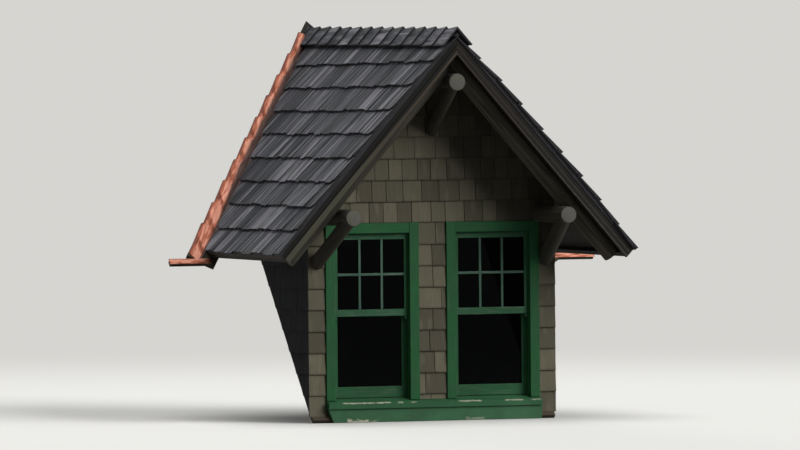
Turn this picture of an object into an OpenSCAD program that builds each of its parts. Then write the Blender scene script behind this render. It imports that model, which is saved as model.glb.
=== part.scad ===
// Gabled dormer with two sash windows, log outriggers and copper valleys.
// Millimetres, +Z up. X runs across the front, +Y runs back into the main roof.
// The origin lies on the seat plane, under the outer face of the front wall.

/* [Roof] */
// Slope of the dormer roof
roof_pitch = 48.7; // [42:0.1:54]
// Slope of the main roof the dormer is seated on
main_slope = 47; // [40:1:50]
// Side overhang of the roof past the wall shingles
side_overhang = 445; // [340:5:520]
// Distance the barge boards stand in front of the wall shingles
front_overhang = 595; // [520:5:700]
// Thickness of the deck planks
deck_t = 45; // [32:1:50]
// Length of each shake course left to the weather
shake_exposure = 258; // [220:2:280]
// Height of the shake butts above the deck
shake_butt = 38; // [30:1:46]
// Height of the shakes above the deck where the next course covers them
shake_thin = 14; // [8:1:20]
// Thickness of a ridge cap board at its front edge
cap_butt = 26; // [20:1:32]
// Thickness of a ridge cap board under the next one
cap_thin = 11; // [8:1:15]
// Length of each ridge cap board left to the weather
cap_step = 250; // [200:5:280]
// Width of a ridge cap board down its slope
cap_w = 125; // [100:5:150]

/* [Walls] */
// Width over the corner shingles
wall_w = 2134; // [1980:2:2280]
// Height of the side wall at its outer face, up to the deck
plate_h = 1814; // [1760:2:1900]
// Thickness of the framed walls
wall_t = 110; // [90:2:140]
// Height of each wall shingle course
course_h = 173; // [150:1:200]
// Height of the lowest full course line
course_base = 23; // [0:1:60]
// Thickness of a wall shingle at its butt
butt_t = 22; // [16:1:26]
// Thickness of a wall shingle under the next course
thin_t = 9; // [6:1:12]

/* [Windows] */
// Distance from the centre line to the middle of each window
window_x = 520; // [500:1:540]
// Clear width between the jambs
opening_w = 640; // [600:2:670]
// Distance from the top of the side wall down to the head jamb
head_drop = 312; // [300:2:370]
// Height of the meeting rails' top
meeting_z = 887; // [820:1:950]
// Face width of the side casings
casing_w = 81; // [70:1:84]
// Face width of the head casing
head_casing_w = 84; // [70:1:90]
// Distance the casing stands out from the wall frame
casing_t = 30; // [26:1:36]
// Thickness of each sash
sash_t = 32; // [28:1:38]
// Stile width of the upper sash
upper_stile = 33; // [30:1:44]
// Stile width of the lower sash
lower_stile = 44; // [38:1:52]
// Height of the upper sash's top rail
top_rail = 50; // [40:1:60]
// Height of the upper sash's meeting rail
meeting_rail = 56; // [40:1:60]
// Height of the lower sash's bottom rail
bottom_rail = 89; // [70:1:100]
// Length of the horns under the upper sash
horn_h = 30; // [20:1:45]
// Glass thickness
glass_t = 4; // [3:0.5:6]

/* [Sill] */
// Height of the sill's front top edge
sill_z = 136; // [124:1:150]
// Distance the sill's nose stands out from the wall frame
sill_out = 82; // [70:1:95]
// Fall of the sill's top face
sill_fall = 12; // [8:1:16]
// Thickness of the sill's nose
sill_nose = 46; // [36:1:50]
// Distance the apron stands out from the wall frame
apron_out = 66; // [50:1:78]
// Inset of the apron's slanting left end at its foot
apron_slant = 46; // [20:1:70]

/* [Log work] */
// Radius of the two logs under the gable edges
barge_r = 71; // [62:1:78]
// Distance of those logs behind the barge board face
barge_back = 190; // [150:1:240]
// Radius of the ridge log
ridge_log_r = 72; // [62:1:78]
// Radius of the two eave logs
eave_log_r = 69; // [58:1:74]
// Distance of the eave logs from the centre line
eave_log_x = 921; // [890:1:930]
// Depth the barge logs are let into the ridge and eave logs
log_bite = 4; // [2:1:12]
// Distance the ridge log stands out past the barge boards
ridge_log_out = 10; // [0:1:40]
// Distance the eave logs stand out past the barge boards
eave_log_out = 86; // [60:2:110]
// Radius of the two side braces
brace_r = 58; // [48:1:62]
// Radius of the brace under the ridge log
ridge_brace_r = 52; // [44:1:60]
// Fall of the side braces from the log to the wall
brace_drop = 355; // [300:5:380]
// Fall of the ridge brace from the log to the wall
ridge_brace_drop = 380; // [320:5:420]

/* [Seat and valleys] */
// Thickness of the timber sleepers on the main roof
sleeper_t = 35; // [28:1:45]
// Width of the copper on the main roof at the valley's foot
copper_w = 138; // [110:2:160]
// Width of the copper on the main roof at the valley's top
copper_top = 120; // [90:2:140]
// Depth of the notches left by the main roof's courses in the copper's edge
copper_notch = 16; // [8:2:24]
// Length of the flat copper foot past the eave corner
copper_foot = 340; // [200:10:400]
// Thickness of the copper sheet
copper_t = 2; // [1.5:0.5:3]

/* [Hidden] */
fit = 0.3;
big = 14000;
frame_x = wall_w / 2 - butt_t;
eave_x = wall_w / 2 + side_overhang;
tan_p = tan(roof_pitch);
cos_p = cos(roof_pitch);
sin_p = sin(roof_pitch);
tan_m = tan(main_slope);
ridge_z = plate_h + deck_t / cos_p + frame_x * tan_p;
slope_len = eave_x / cos_p;
fascia_y = -butt_t - front_overhang;
fascia_t = 38;
fascia_depth = 84;
fascia_slant = 8;
moulding_h = 46;
moulding_out = 15;
shake_lap = 20;
shake_front = 25;
cap_front = 30;
seat_rise = sleeper_t / cos(main_slope);
barge_y = fascia_y + barge_back;
barge_h = deck_t + barge_r + fit;
ridge_log_z = ridge_z - (barge_h + barge_r) / cos_p + log_bite - ridge_log_r;
eave_log_z = ridge_z - barge_h / cos_p - eave_log_x * tan_p - (barge_r + eave_log_r - log_bite) / cos_p;
frame_t = 20;
hole_w = opening_w + 2 * frame_t;
hole_z = 100;
head_z = plate_h - head_drop;
outer_x = window_x + opening_w / 2 + casing_w;
inner_x = window_x - opening_w / 2 - casing_w;
casing_top = head_z + head_casing_w;

// Depths of the beads and the two sashes behind the wall frame's outer face
stop_t = 12;
parting_t = 9.4;
bead_w = 10;
upper_y = stop_t + fit;
parting_y = upper_y + sash_t + fit;
lower_y = parting_y + parting_t + fit;
inner_y = lower_y + sash_t + fit;
at_wall = sill_z + sill_out * tan(sill_fall);
sill_top = sill_z + (sill_out + lower_y + sash_t) * tan(sill_fall);
sash_fit = 1;
check_rail = 42;
lower_foot = sill_top + 1.5;
glass_edge = 7;
groove = glass_edge + 1;

// Height of the deck's underside over a point of the plan
function under_deck(x) = ridge_z - deck_t / cos_p - abs(x) * tan_p;

// Down-slope place of the centre plane at a height above the deck
function ridge_s(h) = -h * tan_p;

// Place of the valley line on the seat plane, as distance up the main slope
function valley_z(x) = ridge_z - abs(x) * tan_p;
function valley_y(x) = (valley_z(x) - seat_rise) / tan_m;
function valley_u(x) = valley_y(x) * cos(main_slope) + valley_z(x) * sin(main_slope);
valley_rise = (valley_u(0) - valley_u(eave_x)) / eave_x;
valley_skew = sqrt(1 + valley_rise * valley_rise);
function offset_u(x, d) = valley_u(x) + d * valley_skew;

// Width of the copper beside the valley at a distance from the centre line
function copper_at(x) = copper_top + (copper_w - copper_top) * abs(x) / eave_x;

// A point of the seat plane at a distance outside the valley line
function beside_valley(x, d) = [x + d * valley_rise / valley_skew, valley_u(x) + d / valley_skew];

// Draws a child outline of the XZ plane from one depth to another
module along_y(y0, y1) {
  translate([0, y1, 0])
    rotate([90, 0, 0])
      linear_extrude(height = y1 - y0)
        children();
}

// Draws a child outline of the YZ plane from one side to another
module along_x(x0, x1) {
  translate([x0, 0, 0])
    rotate([90, 0, 90])
      linear_extrude(height = x1 - x0)
        children();
}

// Puts a child drawn on the right-hand deck in place: X down the slope, Z off the deck
module on_deck() {
  translate([0, 0, ridge_z])
    rotate([0, roof_pitch, 0])
      children();
}

// Puts a child drawn on the seat plane in place: Y up the main slope
module on_seat() {
  rotate([main_slope, 0, 0])
    children();
}

// Everything under the plane of the sleepers' upper faces
module under_roof() {
  on_seat()
    translate([-big / 2, -big / 2, sleeper_t - big])
      cube(big);
}

// Everything above the deck's underside on the right-hand side
module over_deck() {
  on_deck()
    translate([-big / 2, -big / 2, -deck_t])
      cube(big);
}

module mirrored(side) {
  if (side < 0)
    mirror([1, 0, 0])
      children();
  else
    children();
}

// Sleepers lying on the main roof deck

module sole_plate() {
  skin = 30;
  lip = 45;
  side_end = 121;
  front_back = wall_t / cos(main_slope) + lip;
  bar_x = frame_x - wall_t;
  color("burlywood")
    on_seat()
      linear_extrude(height = sleeper_t)
        polygon([
          [-frame_x, -skin], [frame_x, -skin],
          [frame_x, offset_u(frame_x, -side_end)], [bar_x, offset_u(bar_x, -side_end)],
          [bar_x, front_back], [-bar_x, front_back],
          [-bar_x, offset_u(bar_x, -side_end)], [-frame_x, offset_u(frame_x, -side_end)]
        ]);
}

// Outline of the flat foot at a valley's lower end, seen on the seat plane
foot_low = 138;
foot_high = 80;
foot_lap = 20;
foot_end = eave_x + copper_foot;
function foot_outline(inset) = [
  [eave_x - foot_lap + inset, valley_u(eave_x) - foot_low + inset],
  [foot_end - inset, valley_u(eave_x) - foot_low + inset],
  [foot_end - inset, valley_u(eave_x) - foot_high - inset],
  [eave_x - foot_lap + inset, valley_u(eave_x) - foot_high - inset]
];

module valley_sleeper(side) {
  inner = 120;
  low_x = eave_x + (foot_high + foot_low) / 2 / valley_rise;
  color("burlywood")
    mirrored(side)
      on_seat()
        linear_extrude(height = sleeper_t)
          union() {
            polygon([
              beside_valley(low_x, -inner), beside_valley(low_x, copper_at(low_x) - copper_notch),
              beside_valley(0, copper_top - copper_notch), [0, offset_u(0, copper_top - copper_notch)],
              [0, offset_u(0, -inner)]
            ]);
            polygon(foot_outline(6));
          }
}

// Framed walls

module front_wall() {
  color("tan")
    difference() {
      along_y(0, wall_t)
        polygon([
          [-frame_x, -wall_t], [frame_x, -wall_t],
          [frame_x, under_deck(frame_x)], [0, under_deck(0)],
          [-frame_x, under_deck(frame_x)]
        ]);
      under_roof();
      for (side = [-1, 1]) {
        translate([side * window_x - hole_w / 2, -1, hole_z])
          cube([hole_w, wall_t + 2, head_z + frame_t - hole_z]);
        eave_log_space(side);
      }
      ridge_log_space();
    }
}

module cheek_wall(side) {
  color("tan")
    mirrored(side)
      difference() {
        along_y(wall_t, valley_y(0))
          polygon([
            [frame_x - wall_t, 0], [frame_x, 0],
            [frame_x, under_deck(frame_x)],
            [frame_x - wall_t, under_deck(frame_x - wall_t)]
          ]);
        under_roof();
      }
}

// Shingled wall faces, each course leaning out to its butt

module shingle_outline() {
  n = ceil(ridge_z / course_h) + 1;
  low = course_base - course_h;
  line = [
    for (k = [0 : n - 1])
      for (p = [[-butt_t, low + k * course_h], [-thin_t, low + (k + 1) * course_h]])
        p
  ];
  polygon(concat([[0, low]], line, [[0, low + n * course_h]]));
}

module shingle_face(x0, x1, z0, z1) {
  intersection() {
    along_x(x0, x1)
      shingle_outline();
    translate([x0, -butt_t - 1, z0])
      cube([x1 - x0, butt_t + 2, z1 - z0]);
  }
}

module gable_shingles() {
  half = wall_w / 2;
  color("dimgray")
    difference() {
      intersection() {
        along_x(-half, half)
          shingle_outline();
        along_y(-butt_t - 1, 0)
          polygon([
            [-half, casing_top], [half, casing_top],
            [half, under_deck(half)], [0, under_deck(0)], [-half, under_deck(half)]
          ]);
      }
      for (side = [-1, 1])
        eave_log_space(side);
      ridge_log_space();
    }
}

module middle_shingles() {
  color("dimgray")
    shingle_face(-inner_x, inner_x, at_wall, casing_top);
}

module corner_shingles(side) {
  color("dimgray")
    mirrored(side)
      difference() {
        shingle_face(outer_x, wall_w / 2, -wall_t, casing_top);
        under_roof();
        eave_log_space(1);
      }
}

module cheek_shingles(side) {
  color("dimgray")
    mirrored(side)
      difference() {
        translate([frame_x, 0, 0])
          rotate([0, 0, 90])
            along_x(0, valley_y(0))
              shingle_outline();
        under_roof();
        over_deck();
      }
}

// Window joinery

module window_frame(side) {
  half = opening_w / 2;
  top = head_z + frame_t;
  bead_low = sill_top + 1;
  color("seagreen")
    difference() {
      translate([side * window_x, 0, 0])
        union() {
          difference() {
            union() {
              translate([-half - frame_t, 0, hole_z])
                cube([hole_w, wall_t, top - hole_z]);
              translate([-half - casing_w, -casing_t, at_wall])
                cube([opening_w + 2 * casing_w, casing_t, casing_top - at_wall]);
            }
            translate([-half, -casing_t - 1, hole_z - 1])
              cube([opening_w, wall_t + casing_t + 2, head_z - hole_z + 1]);
          }
          for (bead = [[0, stop_t, bead_w - 2], [parting_y, parting_t, bead_w], [inner_y, stop_t, bead_w]])
            for (edge = [-1, 1])
              mirrored(edge)
                translate([half - bead[2], bead[0], bead_low])
                  cube([bead[2] + 1, bead[1], head_z - bead_low]);
        }
      under_roof();
      eave_log_space(side);
    }
}

// Sash between two heights, with its stiles, rails and glazing groove
module sash(y0, z0, z1, stile, low_rail, high_rail) {
  half = opening_w / 2 - sash_fit;
  mid = y0 + sash_t / 2;
  inside = z1 - z0 - low_rail - high_rail;
  slot = glass_t + 1;
  difference() {
    translate([-half, y0, z0])
      cube([2 * half, sash_t, z1 - z0]);
    translate([-half + stile, y0 - 1, z0 + low_rail])
      cube([2 * (half - stile), sash_t + 2, inside]);
    translate([-half + stile - groove, mid - slot / 2, z0 + low_rail - groove])
      cube([2 * (half - stile + groove), slot, inside + 2 * groove]);
  }
}

module upper_sash(side) {
  half = opening_w / 2 - sash_fit;
  foot = meeting_z - meeting_rail;
  horn_taper = horn_h / 4;
  color("seagreen")
    translate([side * window_x, 0, 0]) {
      sash(upper_y, foot, head_z - sash_fit, upper_stile, meeting_rail, top_rail);
      for (edge = [-1, 1])
        mirrored(edge)
          along_y(upper_y, upper_y + sash_t)
            polygon([
              [half, foot], [half - upper_stile, foot],
              [half - upper_stile + horn_taper, foot - horn_h], [half, foot - horn_h]
            ]);
    }
}

module lower_sash(side) {
  color("seagreen")
    translate([side * window_x, 0, 0])
      sash(lower_y, lower_foot, meeting_z, lower_stile, bottom_rail, check_rail);
}

module pane(mid, z0, z1, stile) {
  half = opening_w / 2 - sash_fit - stile + glass_edge;
  translate([-half, mid - glass_t / 2, z0 - glass_edge])
    cube([2 * half, glass_t, z1 - z0 + 2 * glass_edge]);
}

module upper_glass(side) {
  color("lightblue")
    translate([side * window_x, 0, 0])
      pane(upper_y + sash_t / 2, meeting_z, head_z - sash_fit - top_rail, upper_stile);
}

module lower_glass(side) {
  color("lightblue")
    translate([side * window_x, 0, 0])
      pane(lower_y + sash_t / 2, lower_foot + bottom_rail, meeting_z - check_rail, lower_stile);
}

module window_sill() {
  drop = sill_z - sill_nose;
  inner = lower_y + sash_t;
  color("mediumseagreen")
    difference() {
      union() {
        along_x(-outer_x, outer_x)
          polygon([[-sill_out, drop], [-sill_out, sill_z], [0, at_wall], [0, drop]]);
        for (side = [-1, 1])
          along_x(side * window_x - opening_w / 2, side * window_x + opening_w / 2)
            polygon([
              [-1, hole_z], [-1, at_wall - tan(sill_fall)], [inner, sill_top],
              [wall_t, sill_top], [wall_t, hole_z]
            ]);
      }
      under_roof();
    }
}

module sill_apron() {
  top = sill_z - sill_nose;
  visible_h = top + apron_out * tan_m - seat_rise;
  slant_end = apron_slant * (top + wall_t) / visible_h;
  color("mediumseagreen")
    difference() {
      along_y(-apron_out, 0)
        polygon([
          [-outer_x, top], [outer_x, top], [outer_x, -wall_t], [-outer_x + slant_end, -wall_t]
        ]);
      under_roof();
    }
}

// Roof

module roof_deck(side) {
  color("tan")
    mirrored(side)
      difference() {
        on_deck()
          along_y(fascia_y + fascia_t, valley_y(0) + wall_t)
            polygon([
              [0, 0], [slope_len, 0], [slope_len, -deck_t],
              [ridge_s(-deck_t), -deck_t]
            ]);
        under_roof();
      }
}

module eave_board(side) {
  board_h = fascia_depth - deck_t;
  color("saddlebrown")
    mirrored(side)
      difference() {
        on_deck()
          along_y(fascia_y + fascia_t, valley_y(0))
            polygon([
              [slope_len - fascia_t, -deck_t], [slope_len, -deck_t],
              [slope_len, -deck_t - board_h], [slope_len - fascia_t, -deck_t - board_h]
            ]);
        under_roof();
      }
}

// Distance the shakes stop short of the valley line, at a place down the slope
bare_top = 8;
bare_foot = 60;
function bare(s) = bare_top + (bare_foot - bare_top) * s / slope_len;
function valley_at(s) = (ridge_z - s * sin_p - seat_rise) / tan_m;
bare_skew = sqrt(1 + pow(sin_p / tan_m, 2));

module roof_shakes(side) {
  n = ceil(slope_len / shake_exposure) - 1;
  s_eave = slope_len + shake_lap;
  steps = [
    for (j = [0 : n])
      for (p = [
        [s_eave - j * shake_exposure, shake_butt],
        [s_eave - (j + 1) * shake_exposure, shake_thin]
      ])
        p
  ];
  top_s = s_eave - (n + 1) * shake_exposure;
  over = 100;
  low_s = slope_len + over;
  color("slategray")
    mirrored(side)
      difference() {
        on_deck()
          difference() {
            along_y(fascia_y - shake_front, valley_y(0) + wall_t)
              intersection() {
                polygon(concat([[s_eave, 0]], steps, [[top_s, 0]]));
                polygon([
                  [0, 0], [low_s, 0], [low_s, shake_butt + 1],
                  [ridge_s(shake_butt + 1), shake_butt + 1]
                ]);
              }
            translate([0, 0, -1])
              linear_extrude(height = shake_butt + 3)
                polygon([
                  [-over, valley_at(-over) - bare(-over) * bare_skew],
                  [low_s, valley_at(low_s) - bare(low_s) * bare_skew],
                  [low_s, big], [-over, big]
                ]);
          }
        under_roof();
      }
}

// Lapped ridge cap boards, each leaning out to its front edge
module ridge_cap() {
  base = shake_butt + 0.5;
  start = fascia_y - cap_front;
  back = (ridge_z + (base + cap_thin) / cos_p - seat_rise) / tan_m;
  n = floor((back - start) / cap_step);
  end = start + (n + 1) * cap_step;
  line = [
    for (k = [0 : n])
      for (p = [
        [start + k * cap_step, base + cap_butt],
        [start + (k + 1) * cap_step, base + cap_thin]
      ])
        p
  ];
  color("slategray")
    for (side = [-1, 1])
      mirrored(side)
        difference() {
          on_deck()
            along_x(-2 * cap_w, cap_w)
              polygon(concat([[start, base]], line, [[end + wall_t, base + cap_thin], [end + wall_t, base]]));
          translate([-big, -big / 2, 0])
            cube(big);
          under_roof();
        }
}

module barge_board(side) {
  color("saddlebrown")
    mirrored(side)
      on_deck()
        along_y(fascia_y, fascia_y + fascia_t)
          polygon([
            [0, 0], [slope_len, 0],
            [slope_len + fascia_slant, -fascia_depth],
            [ridge_s(-fascia_depth), -fascia_depth]
          ]);
}

module barge_moulding(side) {
  top = -fascia_depth + moulding_h;
  end = slope_len + fascia_slant;
  set_back = 4;
  color("gray")
    mirrored(side)
      on_deck()
        along_y(fascia_y - moulding_out, fascia_y)
          polygon([
            [ridge_s(top), top], [end - 2 * set_back, top], [end - set_back, -fascia_depth],
            [ridge_s(-fascia_depth), -fascia_depth]
          ]);
}

// Log work

module log_y(r, y0, y1) {
  translate([0, y1, 0])
    rotate([90, 0, 0])
      cylinder(r = r, h = y1 - y0, $fn = 96);
}

module ridge_log_space() {
  translate([0, 0, ridge_log_z])
    log_y(ridge_log_r + fit, fascia_y - 2 * ridge_log_r, wall_t + 1);
}

module eave_log_space(side) {
  translate([side * eave_log_x, 0, eave_log_z])
    log_y(eave_log_r + fit, fascia_y - 2 * eave_log_out, wall_t + 1);
}

module ridge_log() {
  color("dimgray")
    translate([0, 0, ridge_log_z])
      log_y(ridge_log_r, fascia_y - ridge_log_out, wall_t);
}

module eave_log(side) {
  color("dimgray")
    translate([side * eave_log_x, 0, eave_log_z])
      log_y(eave_log_r, fascia_y - eave_log_out, wall_t);
}

module barge_log(side) {
  cut_back = fascia_t + 2;
  over_ridge = 4 * barge_r;
  color("dimgray")
    mirrored(side)
      difference() {
        on_deck()
          translate([-over_ridge, barge_y, -barge_h])
            rotate([0, 90, 0])
              cylinder(r = barge_r, h = slope_len - cut_back + over_ridge, $fn = 96);
        translate([-big, -big / 2, 0])
          cube(big);
        eave_log_space(1);
        ridge_log_space();
      }
}

// Round brace from a log's middle down and back to the shingle face
module brace(r, top, foot) {
  v = foot - top;
  run = norm(v);
  difference() {
    translate(top)
      rotate([0, acos(v[2] / run), atan2(v[1], v[0])])
        cylinder(r = r, h = run + 2 * r, $fn = 96);
    translate([-big / 2, -butt_t, -big / 2])
      cube(big);
  }
}

module side_brace(side) {
  color("dimgray")
    mirrored(side)
      difference() {
        brace(
          brace_r,
          [eave_log_x, fascia_y - eave_log_out + brace_r + 5, eave_log_z],
          [outer_x + brace_r + 4, -butt_t, eave_log_z - brace_drop]
        );
        eave_log_space(1);
      }
}

module ridge_brace() {
  color("dimgray")
    difference() {
      brace(
        ridge_brace_r,
        [0, fascia_y + ridge_brace_r, ridge_log_z],
        [0, -butt_t, ridge_log_z - ridge_brace_drop]
      );
      ridge_log_space();
    }
}

// Copper in the valleys

module valley_copper(side) {
  n = floor((valley_u(0) - valley_u(eave_x)) / shake_exposure) + 1;
  edge = [
    for (k = [0 : n - 1])
      for (p = [
        beside_valley(eave_x * (1 - k / n), copper_at(eave_x * (1 - k / n)) - copper_notch),
        beside_valley(eave_x * (1 - (k + 1) / n), copper_at(eave_x * (1 - (k + 1) / n)))
      ])
        p
  ];
  turn_up = 5;
  color("darksalmon")
    mirrored(side) {
      on_seat()
        translate([0, 0, sleeper_t])
          linear_extrude(height = copper_t)
            union() {
              polygon(concat(
                [beside_valley(eave_x + foot_low / valley_rise, 0)],
                [beside_valley(eave_x + foot_high / valley_rise, copper_w)],
                edge,
                [[0, offset_u(0, copper_top)], [0, valley_u(0)]]
              ));
              polygon(foot_outline(0));
            }
      difference() {
        on_deck()
          linear_extrude(height = copper_t)
            polygon([
              [0, valley_at(0) + turn_up], [0, valley_at(0) - bare(0) * bare_skew],
              [slope_len, valley_at(slope_len) - bare(slope_len) * bare_skew],
              [slope_len, valley_at(slope_len) + turn_up]
            ]);
        under_roof();
      }
    }
}

sole_plate();
valley_sleeper(-1);  // left_valley_sleeper
valley_sleeper(1);  // right_valley_sleeper
front_wall();
cheek_wall(-1);  // left_cheek_wall
cheek_wall(1);  // right_cheek_wall
gable_shingles();
middle_shingles();
corner_shingles(-1);  // left_corner_shingles
corner_shingles(1);  // right_corner_shingles
cheek_shingles(-1);  // left_cheek_shingles
cheek_shingles(1);  // right_cheek_shingles
window_frame(-1);  // left_window_frame
window_frame(1);  // right_window_frame
upper_sash(-1);  // left_upper_sash
lower_sash(-1);  // left_lower_sash
upper_sash(1);  // right_upper_sash
lower_sash(1);  // right_lower_sash
upper_glass(-1);  // left_upper_glass
lower_glass(-1);  // left_lower_glass
upper_glass(1);  // right_upper_glass
lower_glass(1);  // right_lower_glass
window_sill();
sill_apron();
roof_deck(-1);  // left_roof_deck
roof_deck(1);  // right_roof_deck
eave_board(-1);  // left_eave_board
eave_board(1);  // right_eave_board
roof_shakes(-1);  // left_roof_shakes
roof_shakes(1);  // right_roof_shakes
ridge_cap();
barge_board(-1);  // left_barge_board
barge_board(1);  // right_barge_board
barge_moulding(-1);  // left_barge_moulding
barge_moulding(1);  // right_barge_moulding
barge_log(-1);  // left_barge_log
barge_log(1);  // right_barge_log
ridge_log();
eave_log(-1);  // left_eave_log
eave_log(1);  // right_eave_log
ridge_brace();
side_brace(-1);  // left_brace
side_brace(1);  // right_brace
valley_copper(-1);  // left_valley_copper
valley_copper(1);  // right_valley_copper
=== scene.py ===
"""Dresses a gabled dormer window: shakes, shingles, joinery, round logs and copper valleys."""

import math
import random

import bmesh
import bpy
from bpy.props import FloatProperty, FloatVectorProperty, IntProperty, PointerProperty
from mathutils import Matrix, Vector, noise


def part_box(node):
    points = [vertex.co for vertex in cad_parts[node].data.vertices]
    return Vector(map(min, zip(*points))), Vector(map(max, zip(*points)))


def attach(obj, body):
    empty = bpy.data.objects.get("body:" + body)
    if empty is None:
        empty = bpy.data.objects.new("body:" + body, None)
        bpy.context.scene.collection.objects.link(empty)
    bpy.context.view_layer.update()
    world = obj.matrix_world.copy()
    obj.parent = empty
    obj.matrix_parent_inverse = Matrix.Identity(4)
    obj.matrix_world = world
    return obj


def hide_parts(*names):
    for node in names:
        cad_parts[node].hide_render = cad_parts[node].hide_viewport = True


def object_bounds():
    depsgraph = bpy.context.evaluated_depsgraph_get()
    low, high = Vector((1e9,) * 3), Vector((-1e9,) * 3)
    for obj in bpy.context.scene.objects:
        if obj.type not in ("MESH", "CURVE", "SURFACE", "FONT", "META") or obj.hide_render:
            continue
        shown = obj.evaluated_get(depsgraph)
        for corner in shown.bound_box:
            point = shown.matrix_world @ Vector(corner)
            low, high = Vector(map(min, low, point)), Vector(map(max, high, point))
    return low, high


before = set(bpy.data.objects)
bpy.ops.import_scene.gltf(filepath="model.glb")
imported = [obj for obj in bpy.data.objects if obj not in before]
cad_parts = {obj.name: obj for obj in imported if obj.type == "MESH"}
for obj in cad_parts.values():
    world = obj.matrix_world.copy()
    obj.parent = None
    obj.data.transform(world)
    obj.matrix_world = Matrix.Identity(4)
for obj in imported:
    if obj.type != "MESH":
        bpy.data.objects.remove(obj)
CAD_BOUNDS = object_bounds()

bl_info = {
    "name": "Gabled Dormer Finish",
    "version": (1, 0, 0),
    "blender": (4, 5, 0),
    "location": "3D View > Sidebar > Dormer",
    "description": "Dresses a gabled dormer window with shakes, shingles, joinery, logs and copper",
    "category": "Object",
}

SIDES = {"left": -1, "right": 1}


def linear(red, green, blue):
    """Linear colour of an sRGB colour given from 0 to 255."""
    return tuple(
        c / 12.92 if c <= 0.04045 else ((c + 0.055) / 1.055) ** 2.4
        for c in (red / 255, green / 255, blue / 255)
    )


def toned(tint, share):
    """A colour made darker or lighter by a share."""
    return tuple(c * share for c in tint)


def clamp(value):
    """A value held between 0 and 1."""
    return min(1, max(0, value))


def length(name, description, default):
    """A size in metres."""
    return FloatProperty(name=name, description=description, default=default, unit="LENGTH", precision=4)


def angle(name, description, degrees):
    """An angle, given here in degrees."""
    return FloatProperty(name=name, description=description, default=math.radians(degrees), subtype="ANGLE")


def amount(name, description, default, most=1):
    """A number from nothing up to a limit."""
    return FloatProperty(
        name=name, description=description, default=default, min=0, max=most, subtype="FACTOR"
    )


def colour(name, description, red, green, blue):
    """A colour, given here as sRGB from 0 to 255."""
    return FloatVectorProperty(
        name=name, description=description, default=linear(red, green, blue), min=0, max=1, subtype="COLOR"
    )


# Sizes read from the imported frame

EAVE_X, _, RIDGE_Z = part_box("right_roof_deck")[1]
BOARD_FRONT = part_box("right_barge_board")[0].y
WALL_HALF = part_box("gable_shingles")[1].x
FRAME_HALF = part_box("front_wall")[1].x
CASING_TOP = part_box("left_window_frame")[1].z
CASING_OUT = -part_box("left_window_frame")[0].x
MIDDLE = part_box("middle_shingles")
CAP_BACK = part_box("ridge_cap")[1].y

# Heights that the boxes don't show: the moulding's low edge off the deck, and the sill's front top edge
MOULDING_LOW = -0.084
SILL_EDGE = 0.136
# Height of the backs of shakes and shingles off the wood, the clearance of parts cut to each other,
# and the room that a sash needs to slide
BACKING = 0.003
CLEAR = 0.001
SLIDE = 0.0003
DOWN = Vector((0, 0, -1))


class RoofSettings(bpy.types.PropertyGroup):
    pitch: angle("Pitch", "Slope of the dormer roof", 48.7)
    main_slope: angle("Main slope", "Slope of the roof that the dormer is seated on", 47)
    deck: length("Deck", "Thickness of the deck planks", 0.045)
    sleeper: length("Sleeper", "Thickness of the timber sleepers", 0.035)
    exposure: length("Exposure", "Length of each shake course left to the weather", 0.258)
    butt: length("Butt", "Height of the shake butts above the deck", 0.038)
    thin: length("Thin end", "Height of the shakes where the next course covers them", 0.014)
    lap: length("Eave lap", "Distance the first course stands out past the deck", 0.02)
    front: length("Rake lap", "Distance the shakes stand out past the barge boards", 0.025)
    narrow: length("Narrow shake", "Width of the narrowest shakes", 0.085)
    wide: length("Wide shake", "Width of the widest shakes", 0.215)
    joint: length("Joint", "Gap between neighbouring shakes", 0.0095)
    sag_front: length("Sag at the front", "How far the highest course sits low at the gable edge", 0.02)
    sag_back: length("Sag at the valley", "How far the highest course sits low at the valley", 0.095)
    cant: length("Cant", "Height of the strip that lifts the shakes along the gable edge", 0.036)
    cant_width: length("Cant width", "Width over which the gable edge is lifted", 0.2)
    bare_low: length("Bare at the foot", "Copper left bare beside the valley at its foot", 0.06)
    bare_high: length("Bare at the top", "Copper left bare beside the valley at its top", 0.008)
    cap_width: length("Cap width", "Width of a ridge cap board down its slope", 0.125)
    cap_step: length("Cap step", "Length of each ridge cap board left to the weather", 0.25)
    cap_front: length("Cap lap", "Distance the first cap board stands out past the barge boards", 0.03)
    cap_butt: length("Cap butt", "Thickness of a cap board at its front edge", 0.026)
    cap_thin: length("Cap thin end", "Thickness of a cap board under the next one", 0.011)
    mid: colour("Shake", "Main colour of the weathered shakes", 97, 98, 104)
    pale: colour("Pale streaks", "Colour of the pale streaks in the shakes", 155, 154, 160)
    dark: colour("Dark shake", "Colour of the darkest shakes", 46, 48, 53)
    streak: colour("Dark streaks", "Colour of the dark streaks in the shakes", 27, 28, 33)


class WallSettings(bpy.types.PropertyGroup):
    course: length("Course", "Height of each wall shingle course", 0.173)
    base: length("Base", "Height of the lowest full course line", 0.023)
    butt: length("Butt", "Thickness of the shingles at their butts", 0.022)
    thin: length("Thin end", "Thickness of the shingles under the next course", 0.009)
    narrow: length("Narrow shingle", "Width of the narrowest shingles", 0.11)
    wide: length("Wide shingle", "Width of the widest shingles", 0.185)
    joint: length("Joint", "Gap between neighbouring shingles", 0.0045)
    lit: colour("Shingle", "Main colour of the wall shingles", 104, 100, 84)
    dull: colour("Dull shingle", "Colour of the darker wall shingles", 82, 78, 66)
    # Darker copy of the shingle colour for the cheeks: painted shade.
    shaded: colour("Cheek shingle", "Colour of the cheeks' shingles", 46, 47, 49)


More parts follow.
